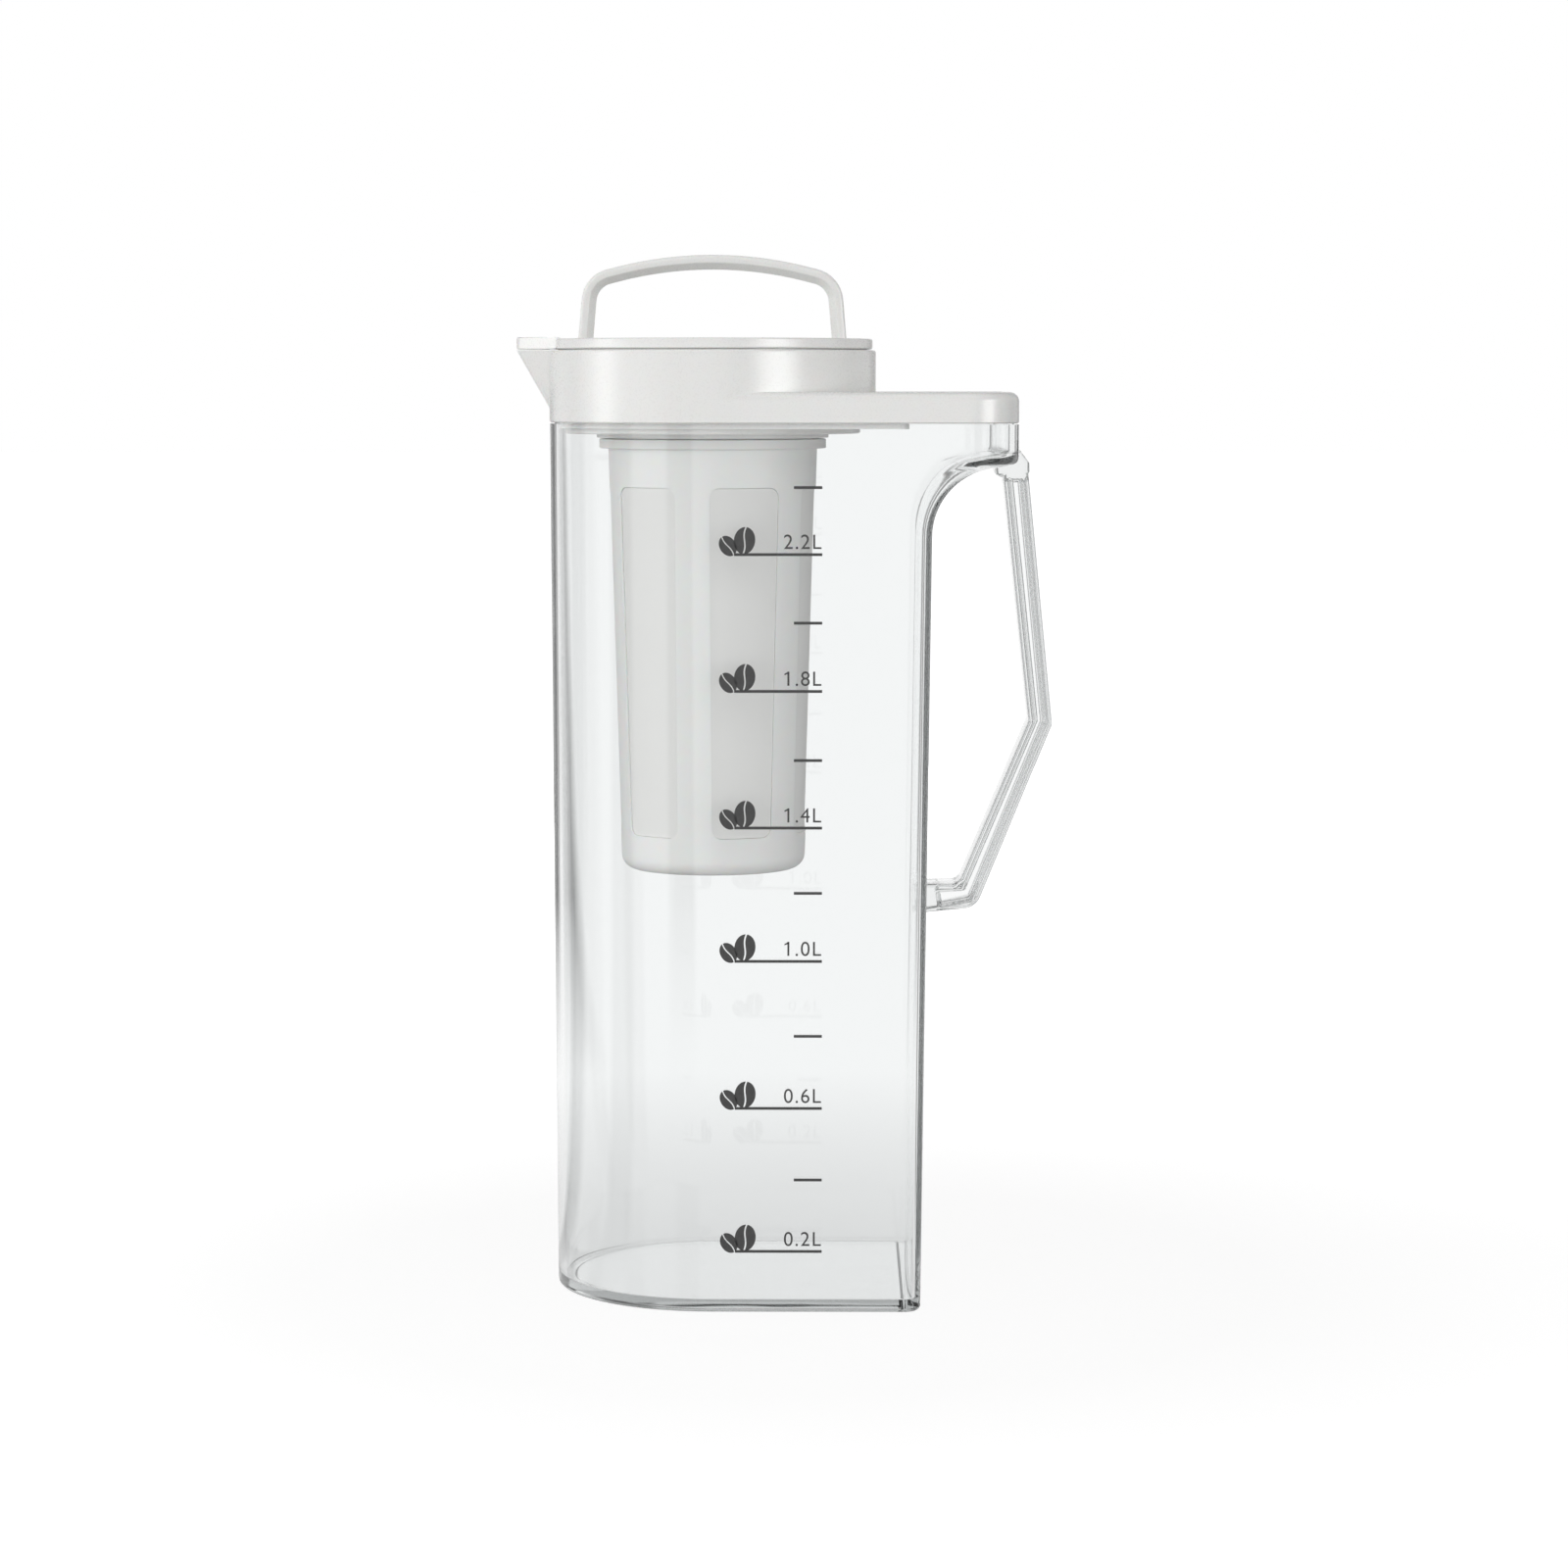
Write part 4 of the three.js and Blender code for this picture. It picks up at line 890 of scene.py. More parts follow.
class PITCHER_OT_side_handle(bpy.types.Operator):
    """Models the clear side handle with an I-section and trims it to the jug"""

    bl_idname = "pitcher.side_handle"
    bl_label = "Side handle"

    def execute(self, context):
        jug = context.scene.pitcher.jug
        bar = context.scene.pitcher.side_handle
        bend = 2 * MM
        sink = 6 * MM
        foot = (jug.top_flat - sink, bar.elbow_height - bar.foot_drop, bar.foot_bar / 2, 2 * bend)
        elbow = (bar.elbow_reach, bar.elbow_height, bar.bar / 2, bar.elbow_round)
        knee = (bar.knee_reach - bar.knee_bar / 2, bar.knee_height, bar.knee_bar / 2, bend)
        top = (jug.shelf_end, bar.head_top - bar.head_depth / 2, bar.bar / 2, 2 * bend)
        half = bar.width / 2
        across = (0, bar.width, 0)
        piece = slab(upright(rounded(ribbon([foot, elbow, knee, top])), -half), across)
        soften(piece, bar.edge, 4, clamp=False)
        head_low = bar.head_top - bar.head_depth
        head_out = jug.shelf_end + bar.head_out
        head = rounded(
            [
                (jug.shelf_end - sink, bar.head_top, bend),
                (jug.shelf_end - sink, head_low, bend),
                (head_out, head_low, bend),
                (head_out, (bar.head_top + head_low) / 2, bend),
                (jug.shelf_end + bar.bond + bend / 2, bar.head_top, bend),
            ]
        )
        block_of_head = slab(upright(head, -half), across)
        fuse(piece, soften(block_of_head, bar.edge, 4, clamp=False))
        for side in (-1, 1):
            cut(piece, self.groove(jug, bar, elbow, knee, top, side))
        cut(piece, loft(wall_rings(jug, -bar.bond, jug.foot_edge, jug.shoulder)))
        finish(piece, "clear_side_handle", "jug", "clear_plastic", ["side_handle"])
        return {"FINISHED"}

    def groove(self, jug, bar, elbow, knee, top, side):
        """Tool for the groove on one side of the web, with a round mouth and a round bottom."""
        stop = 4.9 * MM
        bend = bar.groove_round + SKIM

        def outline(grow):
            share = (stop - grow) / (top[1] - knee[1])
            start = (jug.top_flat + bar.foot_bar / 3 - grow, elbow[1] - bar.foot_drop, bar.foot_bar / 2)
            end = (mix(top[0], knee[0], share), top[1] - stop + grow, bar.bar / 2)
            path = [(*place, bend + grow) for place in (start, elbow[:3], knee[:3], end)]
            return rounded(ribbon(path, bar.flange - grow))

        depth = (bar.width - bar.web) / 2
        levels = [(bar.flange_round, -PAST)]
        levels += [(bar.flange_round * (1 - s), bar.flange_round * (1 - c)) for s, c in quarter(5)]
        levels += [(-bar.groove_round * (1 - c), depth - bar.groove_round * (1 - s)) for s, c in quarter(5)]
        return skin([upright(outline(grow), side * (bar.width / 2 - deep)) for grow, deep in levels])


# Pour lid


def beak(root, half, reach, tip, low_share, high, low):
    """Spout shape: a wedge with a round tip, drawn at its top and narrowed towards its foot."""
    corners = [(-root, half, 0), (-reach - tip, 0, tip), (-root, -half, 0)]
    outline = [(x, y, high) for x, y in rounded(corners, 10)]
    tip_gap = reach - max(-x for x, _, _ in outline)
    stretch = (reach - root) / (reach - root - tip_gap)
    outline = [(-root + (x + root) * stretch, y, z) for x, y, z in outline]
    edit(slab(outline, (0, 0, low - high)))
    choose(lambda co: abs(co.z - low) < JOIN)
    bpy.ops.transform.resize(value=(*low_share, 1), center_override=(-root, 0, low))
    return close_up()


class PITCHER_OT_pour_lid(bpy.types.Operator):
    """Models the white pour lid: deck, turret, spout, locating lip and the hole for the plug"""

    bl_idname = "pitcher.pour_lid"
    bl_label = "Pour lid"

    def execute(self, context):
        jug = context.scene.pitcher.jug
        lid = context.scene.pitcher.pour_lid

        def top_ring(inset, z, skim=0):
            return (jug.top_round - inset - skim, jug.shelf_end - inset, jug.shelf_corner - inset, z)

        lead = 0.4 * MM
        rings = [top_ring(lead, lid.skirt_low, SKIM), top_ring(0, lid.skirt_low + lead, SKIM)]
        rings.append(top_ring(0, lid.skirt_low + 2 * lead, SKIM))
        for s, c in quarter(8):
            rings.append(top_ring(lid.deck_edge * (1 - c), lid.deck_top - lid.deck_edge * (1 - s), SKIM))
        piece = loft(rings)
        corners = [
            (0, lid.skirt_low, 0),
            (jug.top_round - lead, lid.skirt_low, 0),
            (jug.top_round, lid.skirt_low + lead, 0),
            (jug.top_round, lid.turret_top, lid.turret_edge),
            (0, lid.turret_top, 0),
        ]
        fuse(piece, lathe(rounded(corners)))
        root = lid.turret_bore - LAP
        shape = (root, lid.spout_half, lid.spout_reach, lid.spout_tip)
        foot_share = (0.17, 0.13)
        fuse(piece, beak(*shape, foot_share, lid.turret_top, lid.spout_foot))
        pocket = [top_ring(lid.skirt, z) for z in (lid.lip_low - PAST, lid.deck_low)]
        cut(piece, loft(pocket))
        lip_corner = 3.3 * MM
        levels = (lid.lip_low, lid.deck_low + SKIM)
        fuse(piece, loft([(lid.lip_round, lid.lip_end, lip_corner, z) for z in levels]))
        inner = (lid.bore - SKIM, lid.lip_end - lid.lip_wall, lip_corner - lid.lip_wall)
        levels = (lid.lip_low - PAST, lid.deck_low)
        cut(piece, loft([(*inner, z) for z in levels]))
        bore = [
            (0, lid.lip_low - PAST),
            (lid.bore, lid.lip_low - PAST),
            (lid.bore, lid.deck_top),
            (lid.turret_bore, lid.deck_top),
            (lid.turret_bore, lid.turret_top + PAST),
            (0, lid.turret_top + PAST),
        ]
        cut(piece, lathe(bore))
        lean = math.hypot(1, (lid.spout_reach - jug.top_round) / (lid.turret_top - lid.spout_foot))
        reach = lid.spout_reach - lean * lid.spout_wall
        inward, slimmer, sill = 3 * MM, 0.5 * MM, 0.3 * MM
        shape = (root - inward, lid.spout_half - slimmer, reach, lid.spout_tip - lid.spout_wall)
        foot_share = (0.42, 0.42)
        edit(beak(*shape, foot_share, lid.turret_top, lid.deck_top + sill))
        choose(lambda co: co.z > lid.turret_top - JOIN)
        extrude((0, 0, PAST))
        cut(piece, close_up())
        finish(piece, "white_pour_lid", "pour_lid", "white_plastic", ["spout_collar"])
        return {"FINISHED"}


# Lift-out lid


def hinge_rod(lid, radius, start, end):
    """Round bar on the hinge axis of the flap."""
    x, z = -lid.hinge_out, lid.hinge_height
    return rod(radius, (x, start, z), (x, end, z))


def pivot_rod(carry, radius, start, end, steps=32):
    """Round bar on the axis that the carry handle folds about."""
    return rod(radius, (start, 0, carry.pivot_height), (end, 0, carry.pivot_height), steps)


class PITCHER_OT_cap(bpy.types.Operator):
    """Models the dished cap with its hinge knuckle and the ears of the carry handle"""

    bl_idname = "pitcher.cap"
    bl_label = "Cap"

    def execute(self, context):
        lid = context.scene.pitcher.lid
        carry = context.scene.pitcher.carry
        corners = [
            (0, lid.cap_foot, 0),
            (lid.dish_outside, lid.cap_foot, lid.cap_edge),
            (lid.dish_outside, lid.cap_low, 0),
            (lid.cap_radius, lid.cap_low, lid.cap_edge),
            (lid.cap_radius, lid.cap_top, lid.cap_edge),
            (lid.dish_radius, lid.cap_top, lid.dish_edge),
            (lid.dish_radius, lid.dish_low, lid.dish_edge),
            (0, lid.dish_low, 0),
        ]
        piece = lathe(rounded(corners))
        reach = lid.hinge_out - lid.knuckle - lid.hinge_gap
        end = lid.knuckle_end + lid.hinge_gap
        heights = (lid.cap_low - lid.gap, lid.cap_top + PAST)
        for low, high in ((lid.knuckle_split, end), (-end, -lid.knuckle_split)):
            cut(piece, block(-lid.cap_radius - PAST, -reach, low, high, *heights))
        fuse(piece, hinge_rod(lid, lid.knuckle, -lid.knuckle_split, lid.knuckle_split))
        inner = carry.foot_reach + carry.half + lid.gap
        outer = lid.dish_radius + LAP
        heights = (lid.dish_low - LAP, lid.cap_top - lid.gap)
        ear_round = 1 * MM
        for side in (-1, 1):
            edit(block(side * inner, side * outer, -carry.ear, carry.ear, *heights))
            choose(lambda co: co.z > lid.dish_low and abs(co.x) < inner + JOIN)
            bpy.ops.mesh.bevel(offset=ear_round, segments=4, affect="EDGES")
            fuse(piece, close_up())
            ends = (side * (inner - PAST), side * (carry.stub_end + lid.gap))
            cut(piece, pivot_rod(carry, carry.stub + lid.gap, *ends))
        cut(piece, hinge_rod(lid, lid.pin_hole, -lid.pin_reach, lid.pin_reach))
        finish(piece, "white_cap", "lid", "white_plastic", ["lid_cap"])
        return {"FINISHED"}


class PITCHER_OT_plug(bpy.types.Operator):
    """Models the plug with its pour slots and bayonet socket, and the ring seal in its groove"""

    bl_idname = "pitcher.plug"
    bl_label = "Plug and seal"

    def execute(self, context):
        lid = context.scene.pitcher.lid
        basket = context.scene.pitcher.basket
        inside = lid.plug_radius - lid.plug_wall
        groove = lid.plug_radius - lid.seal_depth
        groove_top = lid.seal_low + lid.seal_height
        corners = [
            (0, lid.plug_roof, 0),
            (lid.socket_bore, lid.plug_roof, 0),
            (lid.socket_bore, lid.catch_top, 0),
            (lid.catch_radius, lid.catch_top, 0),
            (lid.catch_radius, lid.socket_low, SMALL),
            (lid.socket_outside, lid.socket_low, SMALL),
            (lid.socket_outside, lid.plug_roof, 0),
            (inside, lid.plug_roof, 0),
            (inside, lid.plug_foot, 0.5 * lid.plug_edge),
            (lid.plug_radius, lid.plug_foot, lid.plug_edge),
            (lid.plug_radius, lid.seal_low, FINE),
            (groove, lid.seal_low, 0),
            (groove, groove_top, 0),
            (lid.plug_radius, groove_top, FINE),
            (lid.plug_radius, lid.plug_top, lid.cap_edge),
            (0, lid.plug_top, 0),
        ]
        piece = lathe(rounded(corners))
        spare = 0.5 * MM
        half = lid.pour_slot / 2
        heights = (context.scene.pitcher.pour_lid.deck_top + lid.gap, lid.plug_roof - spare)
        slot = block(inside - PAST, lid.plug_radius + PAST, -half, half, *heights)
        turns = [math.pi + (i - (lid.pour_slots - 1) / 2) * lid.pour_pitch for i in range(lid.pour_slots)]
        cut(piece, turned_copies(slot, turns))
        half = basket.lug_half + basket.entry
        heights = (lid.socket_low - PAST, lid.catch_top + spare)
        entry = block(lid.catch_radius - PAST, lid.socket_bore - SKIM, -half, half, *heights)
        turns = [TURN * i / basket.lugs + basket.twist for i in range(basket.lugs)]
        cut(piece, turned_copies(entry, turns))
        finish(piece, "white_plug", "lid", "white_plastic", ["lid_plug"])
        low = lid.seal_low + lid.gap
        high = groove_top - lid.gap
        bead, hollow = 0.7 * MM, 0.4 * MM
        dip = lid.seal_reach - hollow
        corners = [
            (groove + lid.gap, low, 0),
            (dip, low, SMALL),
            (lid.seal_reach, low + bead, SOFT),
            (dip, (low + high) / 2, SMALL),
            (lid.seal_reach, high - bead, SOFT),
            (dip, high, SMALL),
            (groove + lid.gap, high, 0),
        ]
        finish(lathe(rounded(corners, 3)), "silicone_seal", "lid", "silicone", ["lid_seal"])
        return {"FINISHED"}


class PITCHER_OT_flap(bpy.types.Operator):
    """Models the flap over the spout with its two hinge knuckles, and the hinge pin"""

    bl_idname = "pitcher.flap"
    bl_label = "Spout flap and pin"

    def execute(self, context):
        lid = context.scene.pitcher.lid
        pour = context.scene.pitcher.pour_lid
        root = lid.hinge_out + lid.knuckle + lid.gap
        corner_root = pour.turret_bore - LAP
        slope = pour.spout_half / (pour.spout_reach + pour.spout_tip - corner_root)

        def wedge(back, high, low):
            half = (pour.spout_reach + pour.spout_tip - back) * slope
            return beak(back, half, pour.spout_reach, pour.spout_tip, (1, 1), high, low)

        piece = wedge(root, lid.flap_top, lid.cap_low)
        soften(piece, SOFT, 3, 50)
        near, far = lid.knuckle_split + lid.hinge_gap, lid.knuckle_end
        tongue, sunk = 0.8 * MM, 0.1 * MM
        heights = (lid.hinge_height - lid.knuckle + SKIM, lid.flap_top - sunk)
        for low, high in ((near, far), (-far, -near)):
            fuse(piece, block(-root - tongue, -lid.hinge_out, low, high, *heights))
            fuse(piece, hinge_rod(lid, lid.knuckle, low, high))
        back = lid.hinge_out - lid.knuckle - SKIM
        combine(piece, wedge(back, lid.flap_top + PAST, lid.cap_low - PAST), "INTERSECT")
        end = lid.pin_reach
        cut(piece, hinge_rod(lid, lid.pin_hole, -end, end))
        finish(piece, "white_spout_flap", "flap", "white_plastic", ["spout_flap"])
        end -= lid.hinge_gap
        pin = soften(hinge_rod(lid, lid.pin, -end, end), FINE, 2, 50)
        finish(pin, "steel_hinge_pin", "flap", "steel", ["flap_pin"])
        return {"FINISHED"}


class PITCHER_OT_carry_handle(bpy.types.Operator):
    """Models the carry handle by extruding a rounded section along its arch"""

    bl_idname = "pitcher.carry_handle"
    bl_label = "Carry handle"

    def execute(self, context):
        carry = context.scene.pitcher.carry
        crest = carry.top - carry.half
        arch = (carry.shoulder_reach**2 + carry.crown**2) / (2 * carry.crown)

        def height(x):
            return crest - arch + math.sqrt(arch**2 - x**2)

        leg = carry.foot_reach - carry.lean
        corner = (-leg, height(leg), carry.bend)
        guide = [(-carry.foot_reach, carry.pivot_height, 0), corner, (0, height(leg) + leg * leg / arch, 0)]
        bend_steps, crown_steps = 12, 14
        bend = rounded(guide, bend_steps)[1:-1]
        last = bend[-1][0]
        left = [(-carry.foot_reach, carry.pivot_height)] + bend
        left += [(x, height(x)) for x in (last * (1 - i / crown_steps) for i in range(1, crown_steps))]
        path = left + [(0, crest)] + [(-x, z) for x, z in reversed(left)]
        foot = (path[0][0], 0, path[0][1])
        edit(add(bpy.ops.mesh.primitive_plane_add, size=2, location=foot))
        everything()
        bpy.ops.transform.resize(value=(carry.half, carry.depth, 1), center_override=foot)
        choose(lambda co: co.x < foot[0])
        bpy.ops.mesh.bevel(offset=carry.edge, segments=5, affect="VERTICES")
        choose(lambda co: co.x > foot[0] + carry.half - JOIN)
        bpy.ops.mesh.bevel(offset=carry.chamfer, segments=1, affect="VERTICES")
        choose(lambda co: co.x > foot[0] + carry.half - JOIN)
        flat = carry.inner_flat / (carry.depth - carry.chamfer)
        bpy.ops.transform.resize(value=(1, flat, 1), center_override=foot)
        choose(lambda co: co.x > foot[0])
        ease = 0.25 * MM
        bpy.ops.mesh.bevel(offset=ease, segments=2, affect="VERTICES")
        everything()
        lean = 0.0
        for i in range(1, len(path)):
            (x0, z0), (x1, z1) = path[i - 1], path[i]
            extrude((x1 - x0, 0, z1 - z0))
            ahead = path[min(i + 1, len(path) - 1)]
            turn = math.atan2(ahead[0] - x0, ahead[1] - z0)
            bpy.ops.transform.rotate(value=-(turn - lean), orient_axis="Y", center_override=(x1, 0, z1))
            lean = turn
        piece = close_ends()
        boss_round = 0.6 * MM
        for side in (-1, 1):
            out = side * carry.foot_reach
            boss = pivot_rod(carry, carry.depth, out - carry.half, out + carry.half, 48)
            fuse(piece, soften(boss, boss_round, 3, 50))
            start = out + side * (carry.half - LAP)
            fuse(piece, pivot_rod(carry, carry.stub, start, side * carry.stub_end))
        finish(piece, "white_carry_handle", "bail", "white_plastic", ["carry_handle"], crease=40)
        return {"FINISHED"}


# Filter basket


def wall_radius(basket, z):
    """Radius of the tapered wall at a height."""
    return mix(basket.base, basket.top, (z - basket.foot) / (basket.flange_low - basket.foot))


def window_shape(basket, inset):
    """Cutter of one window: a rounded trapezium pushed outwards along X through the wall."""

    def half(z):
        return math.pi * wall_radius(basket, z) / basket.windows - basket.rib / 2 - inset

    bend = basket.window_round - inset
    low, high = basket.window_low, basket.window_top
    corners = [
        (-half(low), low + inset, bend),
        (half(low), low + inset, bend),
        (half(high), high - inset, bend),
        (-half(high), high - inset, bend),
    ]
    start = basket.base / 2
    outline = [(start, y, z) for y, z in rounded(corners, 6)]
    return slab(outline, (basket.flange_radius - start, 0, 0))


class PITCHER_OT_basket(bpy.types.Operator):
    """Models the frosted filter basket and the woven screens in its windows"""

    bl_idname = "pitcher.basket"
    bl_label = "Basket and screens"

    def execute(self, context):
        basket = context.scene.pitcher.basket
        wall = basket.wall
        corners = [
            (0, basket.foot, 0),
            (basket.base, basket.foot, basket.foot_round),
            (basket.top, basket.flange_low, SOFT),
            (basket.flange_radius, basket.flange_low, SOFT),
            (basket.flange_radius, basket.flange_top, SOFT),
            (basket.neck, basket.flange_top, FINE),
            (basket.neck, basket.neck_top, SMALL),
            (basket.neck - basket.neck_wall, basket.neck_top, SMALL),
            (basket.top - wall, basket.flange_low, 0),
            (basket.base - wall, basket.foot + wall, basket.foot_round - wall),
            (0, basket.foot + wall, 0),
        ]
        piece = lathe(rounded(corners, 6))
        low, high = basket.lug_low, basket.lug_low + basket.lug_height
        inner, outer = basket.neck - LAP, basket.lug_reach
        lug = lathe([(inner, low), (outer, low), (outer, high), (inner, high)])
        half = basket.lug_half
        keep = block(0, basket.flange_radius, -half, half, basket.lug_low - PAST, basket.neck_top + PAST)
        combine(lug, keep, "INTERSECT")
        soften(lug, SMALL, 2, 50)
        fuse(piece, turned_copies(lug, [TURN * i / basket.lugs for i in range(basket.lugs)]))
        angles = [basket.first_window + TURN * i / basket.windows for i in range(basket.windows)]
        cut(piece, turned_copies(window_shape(basket, 0), angles))
        finish(piece, "frosted_basket", "basket", "frosted_plastic", ["basket_frame"])
        low, high = basket.window_low - PAST, basket.window_top + PAST
        recess = (wall - basket.screen) / 2
        foot, head = wall_radius(basket, low) - recess, wall_radius(basket, high) - recess
        thick = basket.screen
        sleeve = lathe([(foot - thick, low), (foot, low), (head, high), (head - thick, high)])
        screen = combine(sleeve, window_shape(basket, basket.screen_gap), "INTERSECT")
        self.wrap_threads(screen)
        for i, angle in enumerate(angles):
            twin = copy_turned(screen, angle)
            finish(twin, f"nylon_screen_{i + 1}", "basket", "nylon_mesh", [f"basket_mesh_{i + 1}"])
        bpy.data.objects.remove(screen)
        return {"FINISHED"}

    def wrap_threads(self, screen):
        """Lays the threads round the screen: the UV map holds metres along and up the cloth."""
        mesh = screen.data
        layer = mesh.uv_layers.new(name="threads")
        for loop in mesh.loops:
            x, y, z = mesh.vertices[loop.vertex_index].co
            layer.data[loop.index].uv = (math.atan2(y, x) * math.hypot(x, y), z)


# Printed scale


class PITCHER_OT_scale(bpy.types.Operator):
    """Prints the scale on the front flank: lines, plain numbers and a pair of coffee beans"""

    bl_idname = "pitcher.scale_print"
    bl_label = "Printed scale"

    def execute(self, context):
        scale = context.scene.pitcher.scale
        pieces = []
        beans = self.beans(scale)
        for i, level in enumerate(LINE_LEVELS):
            z = level * MM
            is_long = i % 2 == 0
            pieces.append(self.line(scale.long_left if is_long else scale.short_left, scale, z))
            if is_long:
                pieces.append(self.number(f"{0.2 * (i + 1):.1f}L", scale, z))
                twin = copy_turned(beans, 0)
                twin.location = (0, 0, z)
                pick(twin)
                settle()
                pieces.append(twin)
        bpy.data.objects.remove(beans)
        piece = join(pieces)
        self.lay_on_flank(piece, context.scene.pitcher.jug)
        finish(piece, "printed_scale", "jug", None)
        return {"FINISHED"}

    def line(self, left, scale, z):
        """Line with slightly rounded ends."""
        low, high = z - scale.line / 2, z + scale.line / 2
        corners = [(left, low), (scale.right, low), (scale.right, high), (left, high)]
        outline = rounded([(x, h, 0.15 * scale.line) for x, h in corners], 3)
        return slab(upright(outline, 0), (0, -scale.film, 0))

    def number(self, words, scale, z):
        """Number above the right end of a line, sized by its own height."""
        begin()
        bpy.ops.object.text_add(rotation=(math.pi / 2, 0, 0))
        text = bpy.context.object
        text.data.body = words
        text.data.size = scale.digit / CAPITAL
        text.data.space_character = scale.spacing
        text.data.extrude = scale.film / 2
        bpy.ops.object.convert(target="MESH")
        text = bpy.context.object
        settle()
        xs = [v.co.x for v in text.data.vertices]
        zs = [v.co.z for v in text.data.vertices]
        size = scale.digit / (max(zs) - min(zs))
        wide = size * scale.stretch
        right = scale.right - scale.inset - max(xs) * wide
        text.scale = (wide, 1, size)
        text.location = (right, -scale.film / 2, z + scale.lift - min(zs) * size)
        settle()
        if words[0] == "1":
            text = join([text, self.flag(text, scale)])
        return text

    def flag(self, text, scale):
        """Small slanted stroke at the top left of a one."""
        left = min(v.co.x for v in text.data.vertices)
        top = max(v.co.z for v in text.data.vertices)
        thick = 0.1 * scale.digit
        out, fall = 0.2 * scale.digit, 0.16 * scale.digit
        corners = [
            (left + thick, top),
            (left - out, top - fall),
            (left - out, top - fall - thick),
            (left + thick, top - 1.4 * thick),
        ]
        return slab(upright(corners, 0), (0, -scale.film, 0))

    def bean(self, film, wide, tall, tilt, x, z):
        """Flat oval with an S-shaped slit."""
        turns = [TURN * i / BEAN_STEPS for i in range(BEAN_STEPS)]
        oval = [(wide / 2 * math.cos(a), 0, tall / 2 * math.sin(a)) for a in turns]
        piece = slab(oval, (0, -film, 0))
        steps = 16
        half = 0.035 * wide
        sway = 0.06 * wide
        line = []
        for i in range(steps + 1):
            t = i / steps
            line.append((sway * math.sin(TURN * t), tall * (1.1 * t - 0.55)))
        slit = [(px + half, pz) for px, pz in line] + [(px - half, pz) for px, pz in reversed(line)]
        tool = slab([(px, film, pz) for px, pz in slit], (0, -3 * film, 0))
        cut(piece, tool)
        piece.rotation_euler.y = tilt
        piece.location = (x, 0, z)
        settle()
        return piece

    def beans(self, scale):
        """Large bean and a small one that leans away from it."""
        tall, film = scale.bean, scale.film
        upright_tilt, lying_tilt = math.radians(8), math.radians(-32)
        high, low = 0.5 * tall + 0.1 * MM, 0.34 * tall - 0.2 * MM
        large = self.bean(film, wide=0.78 * tall, tall=tall, tilt=upright_tilt, x=10.5 * MM, z=high)
        small = self.bean(film, wide=0.6 * tall, tall=0.8 * tall, tilt=lying_tilt, x=5.6 * MM, z=low)
        return join([large, small])

    def lay_on_flank(self, piece, jug):
        """Moves the flat print onto the leaning flank, a hair in front of it."""
        lean = (jug.top_round - jug.base_round) / jug.shoulder
        for vert in piece.data.vertices:
            vert.co.y -= jug.base_round + lean * vert.co.z + SKIM


# Gasket


class PITCHER_OT_gasket(bpy.types.Operator):
    """Gives the gasket its finish"""

    bl_idname = "pitcher.gasket"
    bl_label = "Gasket"

    def execute(self, context):
        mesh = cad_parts["collar_gasket"].data
        mesh.materials.clear()
        mesh.materials.append(material_of("silicone"))
        return {"FINISHED"}


# Stage


